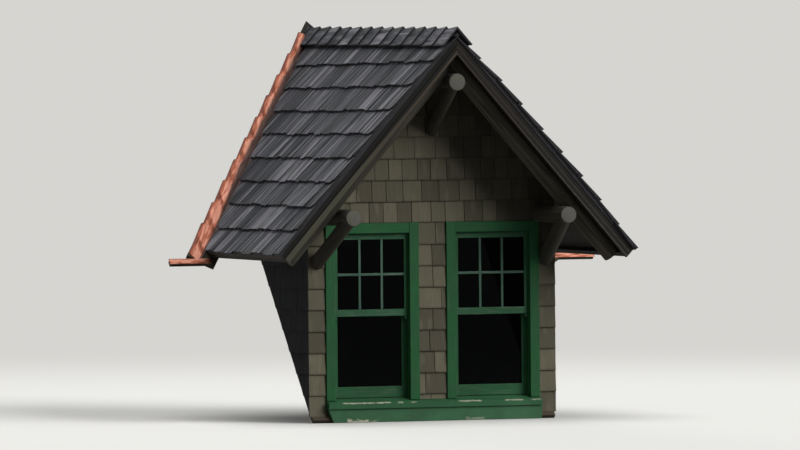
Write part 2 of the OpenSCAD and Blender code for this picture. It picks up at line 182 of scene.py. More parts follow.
class JoinerySettings(bpy.types.PropertyGroup):
    centre: length("Window centre", "Distance from the centre line to each window", 0.52)
    opening: length("Opening", "Clear width between the jambs", 0.64)
    wall: length("Wall", "Thickness of the framed wall", 0.11)
    jamb: length("Jamb", "Thickness of the jamb boards", 0.02)
    head: length("Head", "Height of the underside of the head jamb", 1.502)
    meeting: length("Meeting rails", "Height of the meeting rails' top", 0.887)
    casing: length("Casing", "Face width of the side casings", 0.081)
    casing_out: length("Casing depth", "Distance the casing stands out from the wall frame", 0.03)
    sash: length("Sash", "Thickness of each sash", 0.032)
    stop: length("Stop", "Thickness of the outer and inner stops", 0.012)
    parting: length("Parting bead", "Thickness of the bead between the sashes", 0.0094)
    upper_stile: length("Upper stile", "Stile width of the upper sash", 0.033)
    lower_stile: length("Lower stile", "Stile width of the lower sash", 0.044)
    top_rail: length("Top rail", "Height of the upper sash's top rail", 0.05)
    meeting_rail: length("Meeting rail", "Height of the upper sash's meeting rail", 0.056)
    check_rail: length("Check rail", "Height of the lower sash's top rail", 0.042)
    bottom_rail: length("Bottom rail", "Height of the lower sash's bottom rail", 0.089)
    horn: length("Horn", "Length of the horns under the upper sash", 0.03)
    bar: length("Glazing bar", "Face width of the glazing bars", 0.021)
    glass: length("Glass", "Thickness of the panes", 0.004)
    paint: colour("Casing paint", "Green paint of the casings", 29, 84, 46)
    sash_paint: colour("Sash paint", "Dusty green paint of the sashes", 33, 82, 50)
    rail_paint: colour("Rail paint", "Dusty green paint of the sashes' level rails", 42, 86, 58)
    bar_paint: colour("Bar paint", "Faded paint of the glazing bars", 66, 97, 81)
    sill_paint: colour("Sill paint", "Green paint of the sill", 44, 92, 59)
    apron_paint: colour("Apron paint", "Faded green paint of the apron", 56, 100, 68)
    bare: colour("Bare patches", "Primer and bare wood where the paint has come off", 176, 176, 152)


class LogSettings(bpy.types.PropertyGroup):
    wander: amount("Wander", "How far a log's surface leaves a true cylinder", 0.035, 0.1)
    around: IntProperty(name="Sides", description="Number of faces round a log", default=40, min=16, max=96)
    bark: colour("Log", "Weathered stain of the logs", 58, 55, 45)
    # Lighter copy of the log colour for the right barge log: painted light.
    barge: colour("Barge log", "Lighter stain of the log under the right barge board", 116, 109, 95)
    groove: colour("Log grooves", "Dark streaks in the logs", 34, 33, 28)
    end: colour("Log end", "Grey end grain of the logs", 92, 91, 82)
    board: colour("Board", "Dark stain of the right barge board", 31, 28, 24)
    # Painted shade: the shaded board colour is the dark stain darkened further, for the left barge board and
    # the eave boards.
    shaded: colour("Shaded board", "Blackened stain of the left barge board and the eave boards", 20, 19, 16)
    # Colour of the painted lit strips along the mouldings' low edges.
    moulding: colour("Moulding", "Weathered wood of the light strips", 68, 67, 56)


class CopperSettings(bpy.types.PropertyGroup):
    width: length("Width", "Width of the copper on the main roof at the valley's foot", 0.138)
    width_top: length("Width at the top", "Width of the copper on the main roof at the valley's top", 0.12)
    notch: length("Notch", "Depth of the notches in the outer edge", 0.016)
    foot: length("Foot", "Length of the flat foot past the eave corner", 0.34)
    foot_low: length("Foot low edge", "Distance of the foot's low edge below the eave corner", 0.138)
    foot_high: length("Foot high edge", "Distance of the foot's high edge below the eave corner", 0.08)
    wrinkle: length("Wrinkles", "Height of the wrinkles", 0.007)
    # How far the painted shade beside the valley line widens up the sheet.
    stain: amount("Stain", "Share of the sheet stained beside the valley line", 0.24)
    sheet: length("Sheet", "Thickness of the sheet", 0.0015)
    # Also the painted highlight on the wrinkle peaks.
    bright: colour("Copper", "Colour of the bright copper", 186, 126, 105)
    warm: colour("Warm copper", "Colour of the orange brown copper", 152, 84, 58)
    # Painted shade in the wrinkles' hollows and at the notched edge, and burnt copper along the course
    # creases.
    burnt: colour("Burnt copper", "Colour of the darkened creases and edges", 88, 38, 22)
    # Painted shade along the valley line beside the shakes.
    shade: colour("Valley line", "Dark stain along the bottom of the valley", 44, 27, 22)


class StageSettings(bpy.types.PropertyGroup):
    focal: FloatProperty(name="Focal length", description="Lens of the camera", default=488, unit="CAMERA")
    azimuth: angle("Azimuth", "Turn of the line of sight to the left of the front", 21.56)
    down: angle("Down", "Fall of the line of sight", 1.893)
    roll: angle("Roll", "Roll of the camera", -0.459)
    key: amount("Key light", "Light from the front and the right", 0.88, 3)
    overhead: amount("Overhead light", "Light from straight above", 0.54, 3)
    sky: amount("Sky light", "Soft light of the upper world", 0.24, 3)
    ground: amount("Ground light", "Soft light of the lower world", 0.03, 3)
    behind: amount("Light from behind", "Light shining in at the back", 0.4, 2)
    floor: colour("Floor", "Colour of the floor", 222, 221, 217)
    background: colour("Background", "Colour of the background", 214, 213, 209)


SETTINGS = {
    "dormer_roof": RoofSettings,
    "dormer_walls": WallSettings,
    "dormer_joinery": JoinerySettings,
    "dormer_logs": LogSettings,
    "dormer_copper": CopperSettings,
    "dormer_stage": StageSettings,
}


# Node materials

class Nodes:
    """A node tree, with short calls for the nodes it needs."""

    def __init__(self, owner):
        owner.use_nodes = True
        self.tree = owner.node_tree
        self.tree.nodes.clear()

    def node(self, kind, inputs=(), **settings):
        made = self.tree.nodes.new("ShaderNode" + kind)
        for key, value in settings.items():
            setattr(made, key, value)
        for key, value in dict(inputs).items():
            self.give(made.inputs[key], value)
        return made

    def give(self, socket, value):
        if isinstance(value, bpy.types.NodeSocket):
            self.tree.links.new(value, socket)
        elif socket.type == "RGBA" and len(value) == 3:
            socket.default_value = (*value, 1)
        else:
            socket.default_value = value

    def place(self):
        return self.node("TexCoord").outputs["Object"]

    def turned(self, vector, turn, x, y, z):
        made = self.node("Mapping", {"Vector": vector, "Rotation": turn, "Scale": (x, y, z)})
        return made.outputs["Vector"]

    def scaled(self, vector, x, y, z):
        return self.turned(vector, (0, 0, 0), x, y, z)

    def part(self, vector, axis):
        return self.node("SeparateXYZ", {"Vector": vector}).outputs[axis]

    def clouds(self, vector, scale=1.0, detail=4.0, rough=0.55, twist=0.0):
        inputs = {"Vector": vector, "Scale": scale, "Detail": detail, "Roughness": rough, "Distortion": twist}
        return self.node("TexNoise", inputs).outputs["Fac"]

    def band(self, value, low, high, out_low=0.0, out_high=1.0):
        """Soft step from one value to another between two limits."""
        inputs = {"Value": value, "From Min": low, "From Max": high, "To Min": out_low, "To Max": out_high}
        return self.node("MapRange", inputs, interpolation_type="SMOOTHSTEP").outputs["Result"]

    def maths(self, kind, first, second=0.0):
        return self.node("Math", {0: first, 1: second}, operation=kind).outputs[0]

    def gap(self, first, second):
        """Distance between two values."""
        return self.maths("ABSOLUTE", self.maths("SUBTRACT", first, second))

    def reach(self, kind, first, second=(0, 0, 0)):
        """Length of a vector, or the product of two."""
        return self.node("VectorMath", {0: first, 1: second}, operation=kind).outputs["Value"]

    def mix(self, factor, first, second):
        return self.node("Mix", {0: factor, 6: first, 7: second}, data_type="RGBA").outputs[2]

    def stained(self, shade, where, low, high, share, tint):
        """A shade with up to a share of a tint on it, as a value goes from one limit to the other."""
        return self.mix(self.band(where, low, high, 0, share), shade, tint)

    def layered(self, factor, first, second):
        """Mix of two shader nodes."""
        return self.node("MixShader", {0: factor, 1: first.outputs[0], 2: second.outputs[0]})

    def seen(self):
        """One for rays from the camera, and for those that reach a thing through glass or a gloss."""
        path = self.node("LightPath").outputs
        indirect = self.maths("MAXIMUM", path["Is Glossy Ray"], path["Is Transmission Ray"])
        return self.maths("MAXIMUM", path["Is Camera Ray"], indirect)


class Shader(Nodes):
    """A node material that can read the grain and the tone of each board."""

    def __init__(self, name):
        self.material = bpy.data.materials.new(name)
        super().__init__(self.material)
        self.grain = self.attribute("grain", "Vector")
        self.tone = self.attribute("tone", "Fac")

    def attribute(self, name, output):
        return self.node("Attribute", attribute_name=name, attribute_type="GEOMETRY").outputs[output]

    def streaks(self, x, y, z, detail=4.0, rough=0.55, twist=0.0):
        """Clouds drawn out along each board's own grain."""
        return self.clouds(self.scaled(self.grain, x, y, z), 1.0, detail, rough, twist)

    def bump(self, height, distance, strength):
        inputs = {"Height": height, "Distance": distance, "Strength": strength}
        return self.node("Bump", inputs).outputs["Normal"]

    def close(self, surface):
        self.node("OutputMaterial", {"Surface": surface.outputs[0]})
        return self.material

    def finish(self, base, roughness, normal, **more):
        inputs = {"Base Color": base, "Roughness": roughness, "Normal": normal}
        inputs.update({key.replace("_", " "): value for key, value in more.items()})
        return self.close(self.node("BsdfPrincipled", inputs))


def shake_face(name, settings):
    """Split face of a weathered shake: long pale and dark streaks, splits and a few mossy patches."""
    s = Shader(name)
    streak = s.streaks(21, 1.0, 10, detail=4, rough=0.62)
    fine = s.streaks(150, 2.6, 60, detail=3)
    blotch = s.streaks(5, 2.2, 3, detail=3)
    shade = s.mix(s.tone, settings.dark, settings.mid)
    shade = s.stained(shade, s.tone, 0.8, 1.0, 0.4, settings.pale)
    pale = s.maths("MULTIPLY", s.band(streak, 0.5, 0.68), s.band(s.tone, 0.15, 0.85, 0.15, 0.95))
    shade = s.mix(pale, shade, settings.pale)
    shade = s.stained(shade, blotch, 0.5, 0.72, 0.5, settings.dark)
    shade = s.mix(s.band(streak, 0.34, 0.46, 0.8, 0), shade, settings.streak)
    shade = s.stained(shade, fine, 0.56, 0.68, 0.35, settings.streak)
    moss = s.clouds(s.place(), 2.3, detail=5)
    shade = s.stained(shade, moss, 0.6, 0.72, 0.35, linear(74, 80, 70))
    height = s.maths("ADD", s.maths("MULTIPLY", streak, 0.7), s.maths("MULTIPLY", fine, 0.3))
    rough = s.band(streak, 0.3, 0.7, 0.92, 0.75)
    return s.finish(shade, rough, s.bump(height, 0.006, 0.9), Specular_IOR_Level=0.18)


def dark_edge(name, tint):
    """Dark sawn or split edge with a little end grain; on butts and sides the darkness is weathered end grain
    and painted shade.
    """
    s = Shader(name)
    grains = s.streaks(60, 8, 60, detail=4)
    shade = s.mix(s.band(grains, 0.35, 0.7), tint, toned(tint, 2.2))
    return s.finish(shade, 0.95, s.bump(grains, 0.002, 0.6))


def shingle_face(name, lit, dull):
    """Stained wall shingle: fine upright grain, faded patches and dirt."""
    s = Shader(name)
    fine = s.streaks(170, 5, 40, detail=4, rough=0.6)
    wide = s.streaks(14, 3, 8, detail=4)
    weather = s.clouds(s.place(), 3.1, detail=5)
    shade = s.mix(s.band(s.tone, 0.0, 1.0), dull, lit)
    shade = s.stained(shade, wide, 0.52, 0.72, 0.5, toned(lit, 1.25))
    shade = s.stained(shade, fine, 0.54, 0.75, 0.55, toned(dull, 0.5))
    shade = s.stained(shade, weather, 0.5, 0.72, 0.35, (lit[0] * 0.66, lit[1] * 0.78, lit[2] * 0.68))
    low = s.band(s.part(s.grain, "Y"), 0.0, 0.02, 0.35, 0.0)
    shade = s.mix(low, shade, linear(52, 46, 38))
    return s.finish(shade, 0.88, s.bump(fine, 0.0015, 0.6), Specular_IOR_Level=0.1)


def paint(name, tint, bare, chips, dust, wear=None):
    """Brush-painted wood: faint grain and brush marks, faded patches, chips down to the primer."""
    s = Shader(name)
    grain = s.streaks(120, 4, 120, detail=4, rough=0.6)
    fade = s.clouds(s.place(), 7.0, detail=6, rough=0.62)
    broad = s.clouds(s.place(), 2.2, detail=3)
    shade = s.mix(s.band(fade, 0.35, 0.7), toned(tint, 0.72), tint)
    shade = s.stained(shade, broad, 0.5, 0.75, 0.4, tuple(min(1, c * 1.35 + 0.01) for c in tint))
    shade = s.mix(s.band(grain, 0.5, 0.8, 0, dust), shade, linear(128, 136, 118))
    speck = s.streaks(60, 16, 60, detail=5, rough=0.7)
    flaw = s.band(speck, 0.74 - chips, 0.78 - chips)
    if wear is not None:
        flaw = s.maths("MAXIMUM", flaw, wear(s))
    shade = s.mix(flaw, shade, bare)
    height = s.maths("SUBTRACT", s.maths("MULTIPLY", grain, 0.35), s.maths("MULTIPLY", flaw, 0.8))
    rough = s.band(fade, 0.3, 0.7, 0.55, 0.75)
    return s.finish(shade, rough, s.bump(height, 0.0012, 0.7), Specular_IOR_Level=0.2)


def log_side(name, bark, groove):
    """Peeled log: a worn dark stain with soft long streaks and a few drying checks."""
    s = Shader(name)
    along = s.streaks(30, 1.8, 30, detail=5, rough=0.58)
    check = s.streaks(16, 0.7, 16, detail=2, rough=0.4, twist=0.3)
    line = s.band(s.gap(check, 0.5), 0.0, 0.006, 0.8, 0)
    shade = s.mix(s.band(along, 0.3, 0.66), groove, bark)
    shade = s.stained(shade, along, 0.6, 0.78, 0.5, linear(92, 88, 74))
    shade = s.mix(line, shade, linear(14, 13, 11))
    height = s.maths("SUBTRACT", s.maths("MULTIPLY", along, 0.6), line)
    return s.finish(shade, 0.85, s.bump(height, 0.002, 0.7), Specular_IOR_Level=0.25)


def log_end(name, settings):
    """Grey end grain of a log, with rings and a few drying checks."""
    s = Shader(name)
    flat = s.scaled(s.grain, 1, 0, 1)
    wobble = s.maths("MULTIPLY", s.clouds(flat, 18, detail=2), 0.012)
    reach = s.reach("LENGTH", flat)
    rings = s.maths("SINE", s.maths("MULTIPLY", s.maths("ADD", reach, wobble), 1500))
    shade = s.mix(s.band(rings, -0.6, 0.9, 0, 0.35), settings.end, toned(settings.end, 0.5))
    spots = s.streaks(70, 1, 70, detail=4)
    shade = s.stained(shade, spots, 0.5, 0.75, 0.5, linear(84, 80, 68))
    rim = s.band(reach, 0.054, 0.07)
    shade = s.mix(s.maths("MULTIPLY", rim, 0.6), shade, linear(58, 54, 44))
    slanting = s.turned(flat, (0, 0.7, 0), 1, 1, 1)
    split = s.band(s.gap(s.part(slanting, "X"), 0.0), 0.0, 0.0016, 1, 0)
    split = s.maths("MULTIPLY", split, s.band(s.part(slanting, "Z"), 0.0, 0.01))
    shade = s.mix(split, shade, linear(20, 18, 14))
    height = s.maths("SUBTRACT", rings, s.maths("MULTIPLY", split, 4))
    return s.finish(shade, 0.92, s.bump(height, 0.0012, 0.5))


def off_deck(s, side, pitch):
    """Distance of a point above a slope's deck."""
    off = (side * math.sin(pitch), 0, math.cos(pitch))
    return s.maths("SUBTRACT", s.reach("DOT_PRODUCT", s.place(), off), RIDGE_Z * math.cos(pitch))


def board_wood(name, tint, worn, turn=(0, 0, 0), strip=None):
    """Stained board on a slope, its grain running with the board; its low edge may carry a painted lit strip,
    with a painted shadow line above it and a painted highlight line higher up.
    """
    s = Shader(name)
    run = s.turned(s.place(), turn, 1, 1, 1)
    grain = s.clouds(s.scaled(run, 3, 60, 90), detail=5, rough=0.6)
    patch = s.clouds(s.scaled(run, 4, 9, 20), detail=4)
    shade = s.mix(s.band(grain, 0.4, 0.66), toned(tint, 0.5), tint)
    shade = s.stained(shade, patch, 0.5, 0.7, 0.6, worn)
    if strip is not None:
        side, pitch, peak_edge, foot_edge, light, brown, highlight_share = strip
        # Painted light along the low edge: a lighter strip, paler towards the foot and as wide as the given
        # edges.
        groove, highlight_height = 0.004, MOULDING_LOW + 0.0425
        height = off_deck(s, side, pitch)
        out = s.maths("DIVIDE", s.maths("ABSOLUTE", s.part(s.place(), "X")), EAVE_X)
        edge = s.band(out, 0.15, 0.8, peak_edge, foot_edge)
        pale = s.mix(s.band(out, 0.2, 0.75), brown, light)
        pale = s.mix(s.band(grain, 0.45, 0.7, 0, 0.45), pale, brown)
        above = s.maths("SUBTRACT", height, edge)
        shade = s.mix(s.band(above, -0.001, 0.001, 1, 0), shade, pale)
        # Painted shadow: a dark line just above the lit strip.
        shade = s.mix(s.band(s.gap(above, groove), 0.002, 0.005, 0.9, 0), shade, linear(9, 8, 7))
        # Painted highlight: a thin pale line higher up on the moulding, as strong as the given share.
        shade = s.mix(s.band(s.gap(height, highlight_height), 0.002, 0.0045, highlight_share, 0), shade, pale)
    return s.finish(shade, 0.86, s.bump(grain, 0.002, 0.6), Specular_IOR_Level=0.25)


def sawn_boards(name, tint, axis, width):
    """Aged sawn boards laid edge to edge, with dark joints a board's width apart."""
    s = Shader(name)
    run = s.place()
    across = s.maths("DIVIDE", s.part(run, axis), width)
    step = s.maths("FRACT", across)
    joint = s.band(s.gap(step, 0.5), 0.475, 0.495)
    number = s.maths("FLOOR", across)
    tone = s.node("TexWhiteNoise", {"W": number}, noise_dimensions="1D").outputs["Value"]
    stretch = {"X": (60, 4, 60), "Y": (4, 60, 60), "Z": (4, 30, 90)}[axis]
    grain = s.clouds(s.scaled(run, *stretch), detail=5, rough=0.6)
    shade = s.mix(tone, toned(tint, 0.7), tint)
    shade = s.stained(shade, grain, 0.45, 0.72, 0.7, toned(tint, 0.45))
    shade = s.mix(joint, shade, toned(tint, 0.12))
    height = s.maths("SUBTRACT", grain, s.maths("MULTIPLY", joint, 2))
    return s.finish(shade, 0.88, s.bump(height, 0.003, 0.7), Specular_IOR_Level=0.3)


def copper_sheet(name, settings):
    """Creased copper: pink on the wrinkle peaks as painted highlight and in random blooms, orange brown
    between, darker in the wrinkles' hollows as painted shade, burnt along the course creases and the notched
    edge, where the edge also takes painted shade, and with painted shade along the valley line.
    """
    s = Shader(name)
    crease = s.attribute("crease", "Fac")
    bloom = s.clouds(s.turned(s.grain, (0, 0, 0.2), 34, 4.5, 1), detail=4, rough=0.55)
    fine = s.clouds(s.turned(s.grain, (0, 0, 0.3), 60, 14, 1), detail=3)
    # Painted highlight and shade: the crease layer is low on the wrinkle peaks, which turn pink, and high in
    # their hollows, which turn burnt.
    high = s.maths("ADD", s.band(crease, 0.15, 0.6, 0.5, -0.3), s.band(bloom, 0.35, 0.65, 0, 0.6))
    shade = s.mix(s.band(high, 0.2, 0.8), settings.warm, settings.bright)
    shade = s.stained(shade, fine, 0.55, 0.75, 0.25, settings.warm)
    shade = s.stained(shade, crease, 0.45, 0.95, 0.9, settings.burnt)
    # Painted shade: a dark band along the valley line.
    shade = s.stained(shade, s.tone, 0.1, 0.9, 0.95, settings.shade)
    rough = s.band(bloom, 0.3, 0.7, 0.6, 0.42)
    return s.finish(shade, rough, s.bump(fine, 0.0015, 0.6), Metallic=0.55)


def dark_glass(name):
    """Old pane: a thin film of dust over a near-black tint, which paints the shade of the dark room behind
    it.
    """
    s = Shader(name)
    dust = s.clouds(s.place(), 5.0, detail=6, rough=0.65)
    film = s.band(dust, 0.5, 0.8, 0.0, 0.004)
    # Painted shade: the near-black tint stands in for the dark room behind.
    tint = (0.002, 0.0024, 0.0024)
    looks = {"Base Color": tint, "Roughness": 0.04, "Transmission Weight": 1.0, "IOR": 1.06}
    veil = s.node("BsdfDiffuse", {"Color": (0.3, 0.31, 0.3)})
    return s.close(s.layered(film, s.node("BsdfPrincipled", looks), veil))


# Mesh helpers

def empty_mesh():
    """Mesh with layers for each part's own coordinates, its tone and the creases of a sheet; on the copper
    the tone and crease layers also carry painted shade.
    """
    bm = bmesh.new()
    bm.verts.layers.float_vector.new("grain")
    bm.verts.layers.float.new("tone")
    bm.verts.layers.float.new("crease")
    return bm


def prism(outline, push, steps=1):
    """Closed solid from an outline pushed along a vector, cut across into equal steps."""
    part = empty_mesh()
    verts = [part.verts.new(p) for p in outline]
    made = bmesh.ops.extrude_face_region(part, geom=[part.faces.new(verts)])
    moved = [g for g in made["geom"] if isinstance(g, bmesh.types.BMVert)]
    bmesh.ops.translate(part, verts=moved, vec=push)
    if steps > 1:
        ends = set(moved)
        sides = [e for v in verts for e in v.link_edges if e.other_vert(v) in ends]
        bmesh.ops.subdivide_edges(part, edges=sides, cuts=steps - 1)
    bmesh.ops.recalc_face_normals(part, faces=part.faces[:])
    return part


def block(low, high, soft):
    """Board between two corners, with softened edges."""
    part = empty_mesh()
    low, high = Vector(low), Vector(high)
    place = Matrix.LocRotScale((low + high) / 2, None, high - low)
    bmesh.ops.create_cube(part, size=1, matrix=place)
    edges = part.edges[:]
    bmesh.ops.bevel(part, geom=edges, offset=soft, segments=2, profile=0.5, affect="EDGES", material=-1)
    return part


def trim(part, planes):
    """Cuts a part by planes, keeps what lies behind each and closes the cuts."""
    for point, normal in planes:
        heights = [normal.dot(v.co - point) for v in part.verts]
        if not heights or min(heights) >= -1e-5:
            part.clear()
            return
        if max(heights) > 1e-5:
            made = bmesh.ops.bisect_plane(
                part, geom=part.verts[:] + part.edges[:] + part.faces[:], dist=1e-6,
                plane_co=point, plane_no=normal, clear_outer=True
            )
            rim = [g for g in made["geom_cut"] if isinstance(g, bmesh.types.BMEdge)]
            bmesh.ops.holes_fill(part, edges=rim, sides=0)


def edge_faces(part, front):
    """Gives the butt, the sides and the back of a lying part the second material."""
    across, along = (0, 1) if front == "y" else (1, 0)
    for face in part.faces:
        if abs(face.normal[across]) > 0.8 or face.normal[along] < -0.6 or face.normal.z < -0.5:
            face.material_index = 1


def paint_faces(part, index):
    """Gives all faces of a part one of the piece's materials."""
    for face in part.faces:
        face.material_index = index


def add_part(bm, part, to_local, rng):
    """Joins a part to a piece; its vertices keep their place in the part, so that grain follows it."""
    if not part.verts:
        part.free()
        return
    grain, shade = part.verts.layers.float_vector["grain"], part.verts.layers.float["tone"]
    away = Vector((rng.uniform(0, 9), 0, rng.uniform(0, 9)))
    tone = rng.random()
    for vert in part.verts:
        vert[grain] = to_local @ vert.co + away
        vert[shade] = tone
    mesh = bpy.data.meshes.new("part")
    part.to_mesh(mesh)
    part.free()
    bm.from_mesh(mesh)
    bpy.data.meshes.remove(mesh)


def felt_sheet(bm, rng, place, outline, off=0.0004, thick=0.002):
    """Dark felt under a covering; its outline is given in the frame of the slope or wall."""
    part = prism([place @ Vector((x, y, off)) for x, y in outline], place.to_3x3() @ Vector((0, 0, thick)))
    paint_faces(part, 2)
    add_part(bm, part, place.inverted(), rng)


def new_piece(name, bm, materials, replaced=(), smooth=False):
    """Makes the finished piece, rides it on the one body and hides the parts it stands for."""
    bmesh.ops.recalc_face_normals(bm, faces=bm.faces[:])
    mesh = bpy.data.meshes.new(name)
    bm.to_mesh(mesh)
    bm.free()
    for material in materials:
        mesh.materials.append(material)
    for polygon in mesh.polygons:
        polygon.use_smooth = smooth
    piece = bpy.data.objects.new(name, mesh)
    bpy.context.scene.collection.objects.link(piece)
    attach(piece, "root")
    if replaced:
        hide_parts(*replaced)
    return piece


def dress(nodes, material):
    """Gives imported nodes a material."""
    for name in nodes:
        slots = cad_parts[name].data.materials
        slots.clear()
        slots.append(material)


# Roof

def slope_length(roof):
    """Distance from the eave up to the ridge."""
    return EAVE_X / math.cos(roof.pitch)


def off_slope(side, roof):
    """Direction square to a slope."""
    return Vector((side * math.sin(roof.pitch), 0, math.cos(roof.pitch)))


def under_deck(roof):
    """Height at which the undersides of both decks would meet."""
    return RIDGE_Z - roof.deck / math.cos(roof.pitch)


def main_depth(roof, height):
    """Depth at which the sleepers' upper face reaches a height."""
    return (height - roof.sleeper / math.cos(roof.main_slope)) / math.tan(roof.main_slope)


def main_plane(roof, clear=0.0):
    """Cut along the sleepers' upper face; what lies above it is kept."""
    away = Vector((0, math.sin(roof.main_slope), -math.cos(roof.main_slope)))
    return Vector((0, 0, roof.sleeper / math.cos(roof.main_slope) + clear)), away


def middle_plane(side, clear):
    """Cut beside the centre line; a slope's own side is kept."""
    return Vector((side * clear, 0, 0)), Vector((-side, 0, 0))


def slope_frame(side, roof):
    """Places a slope: X to the back along the eave, Y up the slope, Z off the deck."""
    up = Vector((-side * math.cos(roof.pitch), 0, math.sin(roof.pitch)))
    eave = Vector((side * EAVE_X, 0, RIDGE_Z - EAVE_X * math.tan(roof.pitch)))
    turn = Matrix((Vector((0, 1, 0)), up, off_slope(side, roof))).transposed().to_4x4()
    return Matrix.Translation(eave) @ turn


def bare_width(roof, share):
    """Copper left bare beside the valley, at a share of the way up."""
    return roof.bare_low + (roof.bare_high - roof.bare_low) * share


def bare_place(roof, up):
    """Depth at which the shakes stop beside the valley, at a distance up the slope."""
    valley = main_depth(roof, RIDGE_Z - EAVE_X * math.tan(roof.pitch) + up * math.sin(roof.pitch))
    skew = math.sqrt(1 + (math.sin(roof.pitch) / math.tan(roof.main_slope)) ** 2)
    return valley - bare_width(roof, up / slope_length(roof)) * skew


def shake_solid(roof, rng, width, rake):
    """One split shake: X across, Y up from the butt, Z off the deck; one at the rake has its outer side
    painted near black as shade.
    """
    under, tongue = roof.thin + 0.0015, roof.exposure + 0.04
    heel, slant = 0.05, 0.004
    outline = [
        Vector((0, slant, under)),
        Vector((0, 0, roof.butt)),
        Vector((0, roof.exposure, roof.thin)),
        Vector((0, tongue, roof.thin - 0.002)),
        Vector((0, tongue, BACKING)),
        Vector((0, heel, BACKING)),
        Vector((0, heel - slant, under)),
    ]
    step_width = 0.034
    steps = max(2, round(width / step_width))
    part = prism(outline, Vector((width, 0, 0)), steps)
    edge_faces(part, "y")
    # A shake at the rake takes the near-black painted-shade material on its outer side.
    for face in part.faces:
        if rake and face.normal.x < -0.8:
            face.material_index = 3
    lift = rng.uniform(-0.005, 0.0)
    rises = [lift + rng.uniform(-0.003, 0.0) for _ in range(steps + 1)]
    ends = [rng.uniform(-0.004, 0.004) for _ in range(steps + 1)]
    for vert in part.verts:
        index = round(vert.co.x * steps / width)
        if vert.co.z > roof.butt - 0.001:
            vert.co.z += rises[index]
        if vert.co.y < 0.01:
            vert.co.y += ends[index]
    return part


def cant(roof, point):
    """Lift of the shakes along the gable edge; it fades out towards the ridge and the eave."""
    inward = clamp(1 - (point.y - BOARD_FRONT + roof.front) / roof.cant_width)
    below = clamp((RIDGE_Z - point.z - 0.1) / 0.16)
    above = clamp((EAVE_X - abs(point.x)) / 0.35)
    return roof.cant * inward ** 1.4 * below * above


def cant_strip(side, roof, place):
    """Long wedge on the deck along the gable edge, under the lifted shakes."""
    front = BOARD_FRONT - 0.003
    corners = ((front, BACKING), (front, 2 * BACKING), (front + roof.cant_width * 0.8, BACKING))
    part = prism([Vector((x, 0, z)) for x, z in corners], Vector((0, slope_length(roof), 0)), 30)
    paint_faces(part, 1)
    for vert in part.verts:
        high = vert.co.z > 1.5 * BACKING
        vert.co = place @ vert.co
        if high:
            vert.co += off_slope(side, roof) * cant(roof, vert.co) * 0.96
    return part


def starter_board(width):
    """Thin board under the lowest course."""
    corners = ((0, BACKING), (0, 0.014), (0.07, 0.0135), (0.07, BACKING))
    part = prism([Vector((0, y, z)) for y, z in corners], Vector((width, 0, 0)))
    paint_faces(part, 1)
    return part


def roof_shakes(name, side, roof, materials):
    """Lays one slope: a starter course, then the shakes in courses that sag a little towards the valley."""
    rng = random.Random(11 if side < 0 else 12)
    bm = empty_mesh()
    place, slope = slope_frame(side, roof), slope_length(roof)
    foot = Vector((bare_place(roof, 0), 0, 0))
    along = Vector((bare_place(roof, slope), slope, 0)) - foot
    valley = place.to_3x3() @ Vector((along.y, -along.x, 0)).normalized()
    planes = [middle_plane(side, CLEAR), (place @ foot, valley)]
    courses = math.ceil((slope + roof.lap) / roof.exposure) + 1
    for course in range(-1, courses):
        low = -roof.lap + max(course, 0) * roof.exposure
        start = BOARD_FRONT - roof.front + rng.uniform(0, 0.012)
        stop = bare_place(roof, min(slope, low + roof.exposure + 0.05)) + 0.02
        while start < stop:
            width = rng.uniform(roof.narrow, roof.wide) if rng.random() < 0.8 else roof.narrow
            if course < 0:
                part = starter_board(width)
                shift = Vector((start, low + 0.012, 0))
            else:
                # Only the left slope's shakes at the gable edge get the painted shade on their sides.
                part = shake_solid(roof, rng, width, rake=side < 0 and start < BOARD_FRONT)
                share = (start - BOARD_FRONT) / (bare_place(roof, min(slope, max(0, low))) - BOARD_FRONT)
                sag = max(0, low) / slope * (roof.sag_front + (roof.sag_back - roof.sag_front) * share)
                shift = Vector((start, low - sag + rng.uniform(-0.011, 0.011), 0))
            local = place @ Matrix.Translation(shift) @ Matrix.Rotation(rng.uniform(-0.01, 0.01), 4, "Z")
            bmesh.ops.transform(part, matrix=local, verts=part.verts[:])
            for vert in part.verts:
                vert.co += off_slope(side, roof) * cant(roof, vert.co)
            trim(part, planes)
            add_part(bm, part, local.inverted(), rng)
            start += width + roof.joint * rng.uniform(0.5, 1.5)
    strip = cant_strip(side, roof, place)
    trim(strip, planes[:1])
    add_part(bm, strip, place.inverted(), rng)
    front, top = BOARD_FRONT - 0.005, slope - 0.002
    felt = [(front, 0), (bare_place(roof, 0) - 0.01, 0), (bare_place(roof, top) - 0.01, top), (front, top)]
    felt_sheet(bm, rng, place, felt, 0.0006, 0.0015)
    return new_piece(name + "_single", bm, materials, [name])


